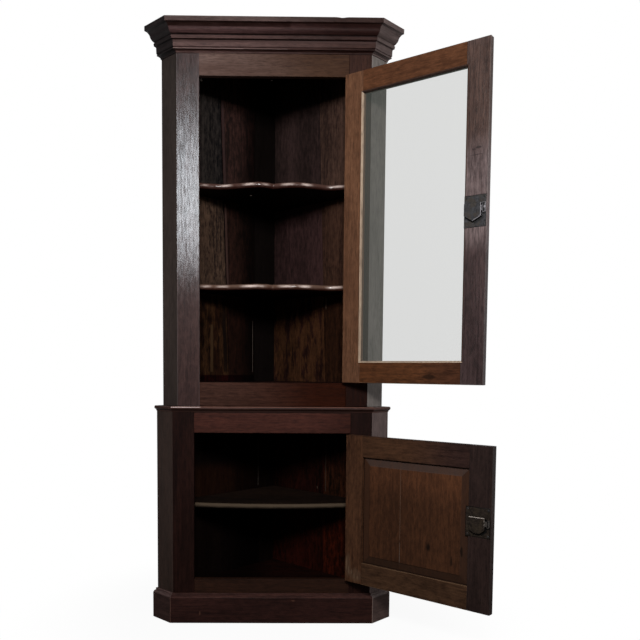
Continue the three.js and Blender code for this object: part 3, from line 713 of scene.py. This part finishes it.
for seed, node in enumerate(sorted(name for name in nodes if any(kind in name for kind in BOARD_KINDS))):
    more = BOARD_MORE.get(node, {})
    if node.endswith(("_floor", "_lid")):
        more = {"zones": [LEFT_SHADE]}
    space = board_space(node, *board_axes(node))
    material = timber(f"{node}_wood", space, TONES.get(node, DARK_BOARD), seed,
                      polish=POLISH.get(body_of_node[node]), **more)
    eased(node, ARRIS, material, space)


# Mouldings: a profile carried along the front and both canted sides, mitred at the front corners

def rounded(profile, radius, steps=3):
    """A closed outline whose sharp corners are cut back by that radius, at most a third of their sides, and
    turned by a quadratic curve, (1-t)^2 a + 2t(1-t) corner + t^2 b. A point more on each side of the turn
    keeps the flats flat when they are shaded smooth."""
    profile = np.asarray(profile, float)
    made = []
    for last, here, after in zip(np.roll(profile, 1, 0), profile, np.roll(profile, -1, 0)):
        back, on = np.linalg.norm(last - here), np.linalg.norm(after - here)
        to_last, to_next = (last - here) / back, (after - here) / on
        if to_last @ to_next < -0.94:
            made.append(here)
            continue
        back, on = min(radius, back / 3), min(radius, on / 3)
        a, b = here + to_last * back, here + to_next * on
        made.append(a + to_last * back * 0.4)
        t = np.linspace(0, 1, steps + 1)[:, None]
        made.extend((1 - t) ** 2 * a + 2 * t * (1 - t) * here + t ** 2 * b)
        made.append(b + to_next * on * 0.4)
    return np.array(made)


def arc(centre, radius, start, end, steps):
    """Points at centre + radius (cos a, sin a) for a from start to end degrees."""
    a = np.radians(np.linspace(start, end, steps))
    return np.stack([centre[0] + radius * np.cos(a), centre[1] + radius * np.sin(a)], -1)


def plinth_profile():
    return rounded(np.array([
        [0.3, 0], [20, 0], [20, 92], [13, 98], [8, 98], [8, 105], [0.3, 105],
    ]) * MM, 1.6 * MM)


def waist_profile():
    nose = arc((5, 768), 6, -60, 90, 12)
    return np.vstack([[[0.3, 755], [1.5, 755], [2.0, 757], [3.2, 760]], nose, [[0.3, 774]]]) * MM


def cornice_profile():
    """Fillet, quarter-round cove, list, flat band, step and quirk, then a cyma whose swell is a sine wave,
    and the crown fillet."""
    turn = np.linspace(0, np.pi / 2, 6)
    cove = np.stack([17 - 10 * np.cos(turn), 1998 + 2 * np.sin(turn)], -1)
    t = np.linspace(0, 1, 21)
    cyma = np.stack([36 + 25 * t + 2.6 * np.sin(2 * np.pi * t), 2044 + 24 * t], -1)
    foot = [[0.3, 1993], [4, 1993], [4, 1997.5]]
    band = [[20, 2000], [20, 2004], [18, 2005], [18, 2006], [22, 2007], [23, 2026.5], [24, 2028.5]]
    step = [[32, 2029.5], [34, 2038.5], [31, 2040], [31, 2042.5]]
    crown = [[71.5, 2069], [72, 2085], [0.3, 2085]]
    return rounded(np.vstack([foot, cove, band, step, cyma, crown]) * MM, 0.6 * MM, 2)


def moulding(name, profile, case, side, seed, stations, dents=(), **more):
    """The profile's points (out p, up z) carried along a straight run. At a mitre the run is longer by
    p tan 22.5 degrees, and at the wall it ends square. The hand-planed run wanders by a slow sine."""
    start = np.array([side * case["half"], case["front"]])
    out = np.array([side, -1.0]) / math.hypot(side, 1)
    along = np.array([-out[1], out[0]])
    p, z = profile[:, 0], profile[:, 1]
    mitre = WALL_TAN * p - GAP
    wall, half = case["cant"] * math.sqrt(2) + 0 * p, case["half"] + mitre
    first, last = {-1: (-wall, mitre), 0: (-half, half), 1: (-mitre, wall)}[side]
    t = np.linspace(0, 1, stations)[:, None]
    run = first + (last - first) * t
    wander = 0.00035 * np.sin(7 * run + seed) * np.minimum(1, p / 0.01)
    ease = np.zeros_like(run)
    for dent_run, dent_out, dent_up, size, sunk in dents:
        far = ((run - dent_run) / 3) ** 2 + (p - dent_out) ** 2 + (z - dent_up) ** 2
        ease += sunk * np.exp(-far / size ** 2)
    q = np.maximum(p + wander - ease, GAP)
    xy = start + along * run[..., None] + out * q[..., None]
    # A dent also sinks, save on the plinth, which is low
    up = z - ease * 0.6 * (z > p + 0.1)
    points = np.concatenate([xy, up[..., None]], -1)
    material = timber(f"{name}_wood", board_space(name, (*along, 0), (*out, 0)), TONES[name], seed, **more)
    stand_in(f"{name}_run", grid(name, points), name, material, 35)


def lit_ledge(*factors):
    """The top of the plinth made paler: painted light on its upward face."""
    return rising(0.0915, 0.12, 0.001, factors, 1, ACROSS)


# Each moulding's profile, case, first seed and number of stations
MOULDINGS = {
    "cornice": (cornice_profile(), UPPER, 50, 121),
    "waist_moulding": (waist_profile(), LOWER, 60, 61),
    "plinth": (plinth_profile(), LOWER, 70, 61),
}
MOULDING_MORE = {
    "cornice_front": {
        "dents": [(0.229, 0.072, 2.085, 0.004, 0.0022)],
        "zones": [shade_rightward(-0.2, 0.5, (0.4, 0.3, 0.26)),
                  rising(2.069, 2.1, 0.002, (1.1, 1.45, 1.5), 1, ACROSS),
                  rising(2.043, 2.068, 0.003, (0.95, 0.98, 1.08), 1, ACROSS),
                  rising(2.005, 2.030, 0.002, (1.5, 1.75, 1.8), 1, ACROSS)],
        # Painted shade in the dark lines under the crown, in the quirk, under the step and at the band's top,
        # and painted highlights in the pale lines on the list.
        "lines": [level(-0.45, 0.06, 2.0640, 0.0060, (28, 13, 10)),
                  level(-0.45, 0.45, 2.0418, 0.0026, (16, 5, 4)),
                  level(-0.45, 0.45, 2.0273, 0.0022, (20, 8, 7)),
                  level(-0.45, 0.45, 2.0235, 0.0044, (52, 34, 31)),
                  level(-0.45, 0.05, 2.0010, 0.0017, (78, 62, 59)),
                  level(-0.45, -0.1, 2.0010, 0.0017, (98, 80, 77))],
    },
    "waist_moulding_front": {
        "zones": [shade_rightward(-0.2, 0.3, (0.55, 0.46, 0.44))],
        # Painted highlights in the pale lines along the nose's top, and painted shade in the dark line under
        # the nose.
        "lines": [level(-0.5, 0.5, 0.7732, 0.0026, (99, 68, 58)),
                  level(-0.38, -0.25, 0.7716, 0.0018, (180, 160, 156)),
                  level(-0.5, 0.5, 0.7600, 0.0075, (30, 14, 10))],
    },
    "plinth_front": {
        "dents": [(0.0773, 0.02, 0.086, 0.0035, 0.003), (-0.2556, 0.02, 0.037, 0.004, 0.0012)],
        "zones": [lit_ledge(2, 2.2, 2.2)],
        "marks": [((0.0773, -0.010, 0.082), 0.009, 0.002, (92, 62, 50), 0.6),
                  ((-0.2556, -0.010, 0.037), 0.003, 0.010, (80, 54, 42), 0.5)],
    },
    "plinth_left": {"zones": [lit_ledge(2, 2.3, 2.4)]},
    "plinth_right": {"zones": [lit_ledge(2, 2.3, 2.4)]},
}
for order, (side_name, side) in enumerate((("front", 0), ("left", -1), ("right", 1))):
    for kind, (profile, case, seed, stations) in MOULDINGS.items():
        name = f"{kind}_{side_name}"
        moulding(name, profile, case, side, seed + order, stations, **MOULDING_MORE.get(name, {}))


# Shelves, with a worn round nosing along their front edge

def curve_through(points, steps=24):
    """A Catmull-Rom curve through the points: on each span p(t) is the cubic whose slopes at the ends are
    half the steps between the neighbouring points."""
    p = np.asarray(points, float)
    before, after = np.vstack([p[:1], p[:-2]]), np.vstack([p[2:], p[-1:]])
    t = np.linspace(0, 1, steps, endpoint=False)[None, :, None]
    a, b = p[:-1, None], p[1:, None]
    slope_a, slope_b = (p[1:] - before)[:, None] / 2, (after - p[:-1])[:, None] / 2
    spans = (2 * a - 2 * b + slope_a + slope_b) * t ** 3 + (3 * b - 3 * a - 2 * slope_a - slope_b) * t ** 2
    return np.vstack([(spans + slope_a * t + a).reshape(-1, 2), p[-1:]])


# The shaped front's outline in millimetres: its two halves, and how far back its foremost places are
SHAPED_CREST = 66
SHAPED_LEFT = [(-372, 4), (-330, 8), (-270, 20), (-193, 36), (-122, 19), (-60, 0), (-24, 7), (-2, 24)]
SHAPED_RIGHT = [(-2, 24), (36, 8), (84, 0), (140, 15), (195, 36), (240, 28), (300, 12), (372, 4)]
# Square to the walls, how far the shelves stay inside them, then the depth of a canted return and of a nosing
SHELF_INWARD, RETURN_DEPTH, NOSE_DEPTH = 0.0073, 0.022 + GAP, 0.009


def shaped_front(x):
    line = np.vstack([curve_through(SHAPED_LEFT), curve_through(SHAPED_RIGHT)[1:]]) * MM
    return SHAPED_CREST * MM + np.interp(x, line[:, 0], line[:, 1])


def bowed_front(x):
    return 0.055 + 0.027 * (x / LOWER["opening"]) ** 2


def shelf(name, case, front, tones, seed, nosing):
    """Rows across the cupboard, each a loop round the board's thickness: back edge inside the walls, which
    are at CORNER_Y - |x|, front edge on the curve, with a nosing that is half an ellipse 9 mm deep."""
    low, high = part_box(name)
    thick = high[2] - low[2]
    far = (case["half"] + case["cant"]) - (RETURN_DEPTH + SHELF_INWARD) * HALF_ROOT
    side_face = (case["half"] + case["cant"]) * 2 - RETURN_DEPTH * math.sqrt(2) - CORNER_Y
    x = np.linspace(-far, far, 301)
    edge = np.maximum(front(x), np.abs(x) - side_face)
    back = np.maximum(CORNER_Y - SHELF_INWARD * math.sqrt(2) - np.abs(x), edge + 1e-5)
    room = np.minimum(1, (back - edge) / 0.03)
    lift = np.linspace(-math.pi / 2, math.pi / 2, 13)
    depth = np.linspace(0, 1, 6)[:, None]
    inner = NOSE_DEPTH * room
    nose = inner * (1 - np.cos(lift))[:, None]
    nose_y, nose_z = edge + nose, low[2] + thick * (0.5 + 0.5 * np.sin(lift))[:, None] + 0 * x
    under = np.stack([back + (edge + inner - back) * depth, low[2] + 0 * x + 0 * depth], -1)[:-1]
    over = np.stack([edge + inner + (back - edge - inner) * depth, high[2] + 0 * x + 0 * depth], -1)[1:]
    loop = np.concatenate([under, np.stack([nose_y, nose_z], -1), over], 0)
    across = np.broadcast_to(x[None, :, None], (*loop.shape[:2], 1))
    points = np.concatenate([across, loop], -1).transpose(1, 0, 2)
    material = timber(f"{name}_wood", board_space(name, RIGHT, UP), tones, seed, nosing=nosing)
    stand_in(f"{name}_nosed", grid(name, points), name, material, 60)


# Painted highlights on the nosings: x, half length and amount
HIGH_GLINTS = [(-0.246, 0.014, 0.3), (-0.174, 0.024, 0.75), (-0.086, 0.026, 0.8), (-0.028, 0.016, 0.45),
              (0.050, 0.026, 0.6), (0.117, 0.022, 0.75), (0.225, 0.034, 0.6)]
MIDDLE_GLINTS = [(-0.242, 0.018, 0.45), (-0.183, 0.024, 0.5), (-0.082, 0.036, 1), (-0.039, 0.014, 0.4),
                (0.048, 0.030, 0.8), (0.113, 0.024, 0.9), (0.220, 0.030, 0.8)]
# Each nosing's two colours are its painted lit top and shaded foot.
shelf("middle_shelf", UPPER, shaped_front, SHAPED_SHELF, 81, ((86, 65, 55), (46, 23, 17), MIDDLE_GLINTS))
shelf("high_shelf", UPPER, shaped_front, SHAPED_SHELF, 82, ((70, 49, 43), (38, 17, 13), HIGH_GLINTS))
shelf("lower_shelf", LOWER, bowed_front, PLAIN_SHELF, 83, ((66, 55, 44), (14, 9, 7), []))


# Doors: panel, glazing bead and glass, and the sizes of the locks

# The plate and the bolt's head (across from and to, up from and to) and the shield's outline are in
# millimetres, and the screws and the way that the lit edges face in metres.
# tones are the iron's dark and pale and the bright of its painted highlights; the bolt's two amounts give its
# painted highlight along the outline and its painted glint.
LOCKS = {
    "upper_door": {
        "plate": (441.5, 513, 1349, 1447), "head": (503, 512.5, 1390, 1422),
        "shield": [(445, 1421), (500, 1421), (500, 1380), (473.5, 1366.5), (445, 1384)],
        "tones": ((26, 25, 27), (52, 51, 54), (124, 120, 124)), "lit": (0.0016, -0.0010),
        "screws": (0.4505, 0.507, 1.3565, 1.4395), "bolt_highlight": 0.6, "bolt_glint": 1.8, "shine": 0.5,
    },
    "lower_door": {
        "plate": (463.5, 546, 394, 487.5), "head": (538.5, 545, 427, 451),
        "shield": [(480, 458.5), (531, 458.5), (531, 420), (517, 408), (495, 408), (480, 419)],
        "tones": ((23, 18, 14), (44, 36, 30), (156, 146, 138)), "lit": (0, 0.0022),
        "screws": (0.4705, 0.539, 0.4005, 0.481), "bolt_highlight": 0.12, "bolt_glint": 0.05, "shine": 0.15,
    },
}
# How deep the bead may be beside the lock's plate, the room round the plate, and the doors' sight lines
PLATE_BED, PLATE_ROOM = 0.0196, 0.0004
SIGHT = {"upper_door": ((0.071, 0.4405), (0.937, 1.842)), "lower_door": ((0.071, 0.473), (0.234, 0.6045))}


def glazing_bead():
    """A ring of four mitred bars: the profile's points (beyond the sight line q, deep d) go round the
    rectangle of the sight line widened by q, and are cut down to the bed of the lock's plate beside it.
    The bars at the top and at the lock stile are dark, painted shade, and the two others pale, painted light."""
    (a0, a1), (z0, z1) = SIGHT["upper_door"]
    bar = rounded([(0.0057, 0.0126), (0, 0.0126), (0, 0.0168), (0.0032, 0.0213), (0.0057, 0.0217)], 0.0009)
    q, d = bar[:, 0], bar[:, 1]
    _, _, foot, head = LOCKS["upper_door"]["plate"]
    low, high = foot * MM - PLATE_ROOM, head * MM + PLATE_ROOM
    cuts = ((low, 1), (low, PLATE_BED), (high, PLATE_BED), (high, 1))
    beside = [(a1 + q, up + 0 * q, most) for up, most in cuts]
    stations = [(a0 - q, z0 - q, 1), (a1 + q, z0 - q, 1), *beside, (a1 + q, z1 + q, 1), (a0 - q, z1 + q, 1)]
    points = np.stack([upper_door.place(a, np.minimum(d, most), z) for a, z, most in stations + stations[:1]])
    node = "upper_door_glazing_bead"
    space = board_space(node, UP, upper_door.deep)
    mesh = grid("glazing_bead", points, capped=False)
    stand_in("glazing_bead", mesh, node, timber("pale_bead", space, LIT_BEAD, 90), 30)
    mesh.materials.append(timber("dark_bead", space, SHADED_BEAD, 92))
    for face in mesh.polygons:
        middle = np.array(face.center) - upper_door.pin
        face.material_index = int(middle @ upper_door.across > a1 or face.center[2] > z1)


# The panel: its open joint, its section, the depths of its faces on the door, the colours of its bevels at
# the top, the bottom, the hinge side and the lock side, lighter or darker as painted light and shade, its
# knot, and its scars
SEAM_AT, SEAM_STEP, SEAM_WIDE, SEAM_DEEP = 0.152, 0.0006, 0.0007, 0.0012
TONGUE, BEVEL, BEVEL_RISE, QUIRK, CUP = 0.0075, 0.028, 0.0042, 0.0008, 0.0006
PANEL_FRONT, PANEL_BACK = 0.006, 0.012
FIELD = PANEL_BACK + BEVEL_RISE + QUIRK
BEVEL_LIGHT_AND_SHADE = [(56, 45, 41), (40, 27, 20), (52, 33, 23), (43, 28, 21)]
KNOT = (-0.086, -0.06, 0.011)
SCARS = ((0.449, 0.337, 0.022, 0.0055, 0.8), (0.415, 0.302, 0.019, 0.0045, 0.75),
         (0.332, 0.333, 0.012, 0.007, 0.6))


def fielded_panel():
    """A sheet whose inner face rises with the distance from its edge: flat tongue, a bevel as wide as BEVEL
    from the sight line, a quirk, then the field, cupped by a sine wave and cut by an open board joint, which
    is sunk as a bell curve."""
    (a0, a1), (z0, z1) = SIGHT["lower_door"]
    beside_seam = a0 + SEAM_AT + np.array([-1, 0, 1]) * SEAM_STEP
    a = np.sort(np.concatenate([np.linspace(a0 - TONGUE, a1 + TONGUE, 150), beside_seam]))
    z = np.linspace(z0 - TONGUE, z1 + TONGUE, 130)
    across, up = np.meshgrid(a, z, indexing="ij")
    inset = np.minimum.reduce([across - a0, a1 - across, up - z0, z1 - up])
    slope = np.clip(inset / BEVEL, 0, 1)
    rise = PANEL_BACK + BEVEL_RISE * slope + QUIRK * (inset > BEVEL)
    cup = CUP * np.sin(np.pi * (across - a0) / (a1 - a0)) * (inset > BEVEL)
    seam = SEAM_DEEP * np.exp(-((across - a0 - SEAM_AT) / SEAM_WIDE) ** 2) * (inset > 0)
    inner = lower_door.place(across, rise + cup - seam, up)
    outer = lower_door.place(across, PANEL_FRONT + 0 * across, up)
    rows = np.concatenate([outer[:, ::-1], inner], 1)
    space = board_space("lower_door_panel", UP, lower_door.deep)
    scars = door_marks(lower_door, (16, 10, 7), *SCARS, deep=FIELD)
    foot, middle, head = (lower_door.place(a0 + SEAM_AT, FIELD, up) for up in (0.25, 0.335, 0.6))
    material = timber("lower_door_panel_wood", space, PANEL, 91, KNOT, (0.05, -0.16), marks=scars,
                      lines=[(middle, head, 0.0015, (78, 58, 46)), (foot, middle, 0.0017, (78, 64, 56))],
                      zones=[rising(0.46, 0.9, 0.09, (1.5, 1.45, 1.4))],
                      bevels=(TONGUE, BEVEL, BEVEL_LIGHT_AND_SHADE), polish=POLISH["lower_door"])
    stand_in("fielded_panel", grid("fielded_panel", rows), "lower_door_panel", material, 20)


glazing_bead()
fielded_panel()
painted(nodes["upper_door_glass"].data, old_glass("old_glass"))


# Ironwork

# The shield's height on the plate, the locks' arrises, and the screws of a leaf: their heights and radius
SHIELD_RISE, IRON_ARRIS = 0.011, 0.0009
HINGE_SCREWS_UP, HINGE_SCREW_RADIUS = (0.010, 0.027, 0.049, 0.066), 0.0028


def lock_iron(name, door, lock, bolt=False):
    """Iron with a painted black shadow of the raised shield and bolt on the plate, below and to the right of
    them, a black line round the plate's border, and painted highlights along the shield's edges that face the
    direction lit. The bolt is black, with painted highlights along its outline and a painted glint."""
    p = new_paint(name)
    place = p.place()
    x, y, up = p.split(place)
    x, y = x - door.pin[0], y - door.pin[1]
    across = x * door.across[0] + y * door.across[1] - DOOR_EDGE
    deep = x * door.deep[0] + y * door.deep[1] - PIN_PROUD

    def outside(outline, shift=(0, 0)):
        """The distance outside a convex outline moved by shift: the most of its sides' distances."""
        points = np.array(outline) * MM + shift
        centre, reach = points.mean(0), None
        for here, after in zip(points, np.roll(points, -1, 0)):
            normal = np.array([after[1] - here[1], here[0] - after[0]]) / np.linalg.norm(after - here)
            normal *= np.sign(normal @ (here - centre))
            distance = (across - here[0]) * normal[0] + (up - here[1]) * normal[1]
            reach = distance if reach is None else reach.most(distance)
        return reach

    a0, a1, z0, z1 = lock["head"]
    head = [(a0, z0 + 5), (a0, z1), (a1, z1), (a1, z0 + 5), ((a0 + a1) / 2, z0)]
    mottle = p.noise(place, 150, 5, 0.7)
    dark, pale, bright = (linear(*colour) for colour in lock["tones"])
    colour = p.mix(dark, pale, p.between(mottle, 0.36, 0.68))
    colour = p.mix(colour, linear(46, 38, 29), p.between(p.noise(place, 48, 4, 0.65), 0.5, 0.62) * 0.7)
    face = p.between(deep, DOOR_THICK + SHIELD_RISE - 0.0016, DOOR_THICK + SHIELD_RISE - 0.0008)
    if bolt:
        rim = p.between(outside(head), -0.0014, -0.0008)
        gone = length((across - (a1 - 2) * MM) * 1.2, up - (z0 * 0.45 + z1 * 0.55) * MM)
        worn = (1 - p.between(gone, 0.002, 0.0045)) * lock["bolt_glint"]
        colour = p.mix(BLACK, bright, (rim * lock["bolt_highlight"]).most(worn))
    else:
        shade = (1 - p.between(outside(lock["shield"], (0.0042, -0.0055)), 0, 0.0012)).most(
            1 - p.between(outside(head, (0.0005, -0.003)), 0.001, 0.002))
        colour = p.mix(colour, BLACK, shade * (1 - face) * 0.97)
        back = (-lock["lit"][0], -lock["lit"][1])
        rim = p.between(outside(lock["shield"], back) + (mottle - 0.5) * 0.004, -0.0006, 0.0004) * face
        colour = p.mix(colour, bright, rim * 0.9)
        a0, a1, z0, z1 = np.array(lock["plate"]) * MM
        border = (across - a0).least(a1 - across).least((up - z0).least(z1 - up))
        colour = p.mix(BLACK, colour, p.between(border, 0.0008, 0.0028))
    height = mottle * 0.0004 + p.noise(place, 900, 3) * 0.00006
    shine = lock["shine"]
    return p.surface(height, Base_Color=colour, Metallic=shine * 0.5, Specular_IOR_Level=shine,
                     Roughness=0.5 + (mottle - 0.5) * 0.3)


dark_iron = iron("dark_iron")
screw_iron = iron("screw_iron", -34)
for door in (upper_door, lower_door):
    lock = LOCKS[door.name]
    eased(f"{door.name}_lock", IRON_ARRIS, lock_iron(f"{door.name}_lock_iron", door, lock))
    eased(f"{door.name}_lock_bolt", IRON_ARRIS, lock_iron(f"{door.name}_bolt_iron", door, lock, True))
for node in nodes:
    if node.endswith("_leaf"):
        painted(nodes[node].data, dark_iron)


def screw(name, centre, out, turn, body, radius=0.0036, material=None):
    """A low dome, height h (1 - r^2), with a slot sunk across its middle, standing on a short skirt."""
    out = np.asarray(out, float)
    side = np.cross(out, UP) if abs(out[2]) < 0.9 else np.array([1.0, 0, 0])
    side /= np.linalg.norm(side)
    other = np.cross(out, side)
    r = np.array([1.0, 1.0, 0.93, 0.75, 0.5, 0.25, 0.0])[:, None]
    base = np.array([-0.4, 0.3, 0.45, 0.62, 0.78, 0.9, 0.95])[:, None]
    angle = np.linspace(0, 2 * math.pi, 24, endpoint=False) + turn
    flat = r * np.sin(angle - turn)
    height = base - 0.75 * (np.abs(flat) < 0.16) * (base > 0.2)
    spoke = np.cos(angle)[:, None] * side + np.sin(angle)[:, None] * other
    points = np.asarray(centre, float) + radius * r[..., None] * spoke + (height * MM)[..., None] * out
    finished(name, grid(name, points), body, material or dark_iron, 50)


def door_screws():
    """Four screws on each lock's plate."""
    for door in (upper_door, lower_door):
        a0, a1, z0, z1 = LOCKS[door.name]["screws"]
        for i, (a, z) in enumerate(((a0, z0), (a1, z0), (a0, z1), (a1, z1))):
            name, place = f"{door.name}_lock_screw_{i + 1}", door.place(a, DOOR_THICK, z)
            screw(name, place, door.deep, 0.7 + i, door.body, material=screw_iron)


def hinge_screws():
    """Four screws on each hinge leaf, on the face that looks into the gap between door and stile."""
    for door in (upper_door, lower_door):
        away = tuple(-c for c in door.across)
        for hinge in ("low", "high"):
            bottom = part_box(f"{door.name}_{hinge}_hinge_case_leaf")[0][2]
            for i, up in enumerate(HINGE_SCREWS_UP):
                deep = 0.012 if i % 2 else 0.017
                for leaf, place, out, turn, body in (
                    ("case", (door.pin[0] + 0.001, door.pin[1] + deep, bottom + up), (-1, 0, 0), 0.4, "case"),
                    ("door", door.place(0, deep - PIN_PROUD, bottom + up), away, 0.5, door.body),
                ):
                    name = f"{door.name}_{hinge}_{leaf}_screw_{i + 1}"
                    screw(name, place, out, turn * i, body, HINGE_SCREW_RADIUS)


def nails():
    """Three old nail heads in the upper case: on the left wall, under the lid and under the high shelf, their
    heads near white as painted glints.
    """
    painted_glint = new_paint("nail_head").surface(Base_Color=linear(226, 222, 214), Roughness=0.45)
    wall, down = (HALF_ROOT, -HALF_ROOT, 0), (0, 0, -1)
    for name, place, out in (
        ("wall_nail", (-0.2692, 0.1988, 1.9662), wall), ("lid_nail", (-0.0129, 0.4001, 2.045), down),
        ("shelf_nail", (-0.0856, 0.1901, 1.549), down),
    ):
        screw(name, place, out, 0.3, "case", 0.005, painted_glint)


def escutcheon(door, across, up):
    """A keyhole plate on the door's front face: loops from the keyhole, whose radius is r + s exp(-(a/w)^2)
    for the angle a from straight down, out to an oval. The keyhole's bottom is a black sheet, painted shade
    where the hole would be dark."""
    a = np.linspace(0, 2 * np.pi, 48, endpoint=False)
    down = np.minimum(a, 2 * np.pi - a)
    hole = 0.0024 + 0.0042 * np.exp(-(down / 0.32) ** 2)
    round_way = np.stack([np.sin(a), -np.cos(a)], -1)
    oval = round_way * (0.0095, 0.0165)
    keyhole = round_way * hole[:, None] + (0, 0.002)
    loops = ((keyhole, -0.0004), (keyhole, -0.0013), (oval * 0.94, -0.0015), (oval, -0.0007), (oval, 0.0004))
    points = np.stack([door.place(across + loop[:, 0], deep, up + loop[:, 1]) for loop, deep in loops])
    finished(f"{door.name}_escutcheon", grid("escutcheon", points), door.body, dark_iron, 40)
    black = new_paint(f"{door.name}_keyhole").surface(Base_Color=BLACK, Roughness=0.9)
    x, z = keyhole.T
    sheet = np.stack([door.place(across + x * k, -0.0006, up + z * k) for k in (0.98, 0.3)])
    finished(f"{door.name}_keyhole", grid("keyhole", sheet), door.body, black, None)


door_screws()
hinge_screws()
nails()
escutcheon(upper_door, 0.4765, 1.400)
escutcheon(lower_door, 0.5085, 0.432)


# The floor, the world, the lamps and the camera

AMBIENT, SIDE_LIGHT = 0.12, 0.3
FLOOR_REACH, FLOOR_UP = 9.0, -0.0004


def stage():
    """A pale floor that keeps a soft shadow near the cupboard and is white to the camera farther out."""
    mesh = bpy.data.meshes.new("floor")
    corners = [(x * FLOOR_REACH, y * FLOOR_REACH, FLOOR_UP) for x, y in ((-1, -1), (1, -1), (1, 1), (-1, 1))]
    mesh.from_pydata(corners, [], [(0, 1, 2, 3)])
    added("floor", mesh)
    p = new_paint("pale_floor")
    along, across, _ = p.split(p.place())
    away = length(along, across - 0.1)
    seen = seen_ray(p, p.between(across, 0.3, 1.2))
    plain = p.node("ShaderNodeBsdfDiffuse", None, {"Color": (0.13, 0.12, 0.11, 1)})
    lit = p.node("ShaderNodeBsdfDiffuse", None, {"Color": (0.85, 0.85, 0.85, 1)})
    white = p.node("ShaderNodeEmission", None, {"Color": (1, 1, 1, 1), "Strength": 1.0})
    whiter = p.between(away, 0.45, 1.0) * 0.07 + 0.93
    faded = p.node("ShaderNodeMixShader", None, {0: whiter, 1: lit, 2: white})
    both = p.node("ShaderNodeMixShader", None, {0: seen, 1: plain, 2: faded})
    p.node("ShaderNodeOutputMaterial", None, {"Surface": both})
    painted(mesh, p.owner)


def seen_ray(p, behind):
    """1 for rays that see white all round: the camera's, those through glass, and reflections where behind
    is 1."""
    path = p.node("ShaderNodeLightPath").socket.node
    kinds = ("Camera", "Glossy", "Transmission")
    straight, glossy, through = (Wire(p, path.outputs[f"Is {kind} Ray"]) for kind in kinds)
    return straight.most(through).most(glossy * behind)


def world():
    """White to the camera on every side. Reflections see white behind the cupboard and dimness in front of
    it, a little lighter to the right; other rays see that same dimness."""
    around = bpy.data.worlds.new("studio")
    bpy.context.scene.world = around
    p = Paint(around)
    direction = p.node("ShaderNodeTexCoord", None, None, "Generated")
    side, back, _ = p.split(direction)
    seen = seen_ray(p, p.between(back, 0.25, 0.85))
    dim = AMBIENT + p.between(side, 0.1, 0.95) * SIDE_LIGHT
    strength = dim + (1 - dim) * seen
    sky = p.node("ShaderNodeBackground", None, {"Color": (1, 1, 1, 1), "Strength": strength})
    p.node("ShaderNodeOutputWorld", None, {"Surface": sky})


def lamp(name, place, aim, width, tall, power, colour):
    light = bpy.data.lights.new(name, "AREA")
    light.shape = "RECTANGLE"
    light.size, light.size_y, light.energy, light.color = width, tall, power, colour
    turn = (Vector(place) - Vector(aim)).to_track_quat("Z", "Y").to_matrix().to_4x4()
    added(name, light).matrix_world = Matrix.Translation(place) @ turn


def camera():
    """The photograph's camera, turned by its yaw, pitch and roll, with its middle pixel off the centre."""
    lens = bpy.data.cameras.new("camera")
    lens.sensor_width = SENSOR
    lens.lens = FOCAL_PIXELS / FRAME_PIXELS * SENSOR
    lens.shift_x = 0.5 - MIDDLE_PIXEL[0] / FRAME_PIXELS
    lens.shift_y = MIDDLE_PIXEL[1] / FRAME_PIXELS - 0.5
    holder = added("camera", lens)
    yaw, roll = Matrix.Rotation(-CAMERA_YAW, 4, "Z"), Matrix.Rotation(CAMERA_ROLL, 4, "Z")
    pitch = Matrix.Rotation(math.pi / 2 - CAMERA_PITCH, 4, "X")
    holder.matrix_world = Matrix.Translation(CAMERA_PLACE) @ yaw @ pitch @ roll
    bpy.context.scene.camera = holder


stage()
world()
lamp("ceiling_light", (0.05, -2.65, 2.05), (0, 0.1, 1.2), 0.5, 0.5, 80, (1.0, 0.99, 0.97))
lamp("window", (-0.68, -2.75, 2.15), (-0.3, 0.1, 1.5), 0.22, 0.9, 22.5, (0.86, 0.93, 1.0))
lamp("right_light", (2.7, -0.5, 1.3), (0.38, 0.05, 1.1), 0.8, 1.6, 14, (0.97, 0.98, 1.0))
camera()
bpy.context.scene.view_settings.view_transform = "Standard"
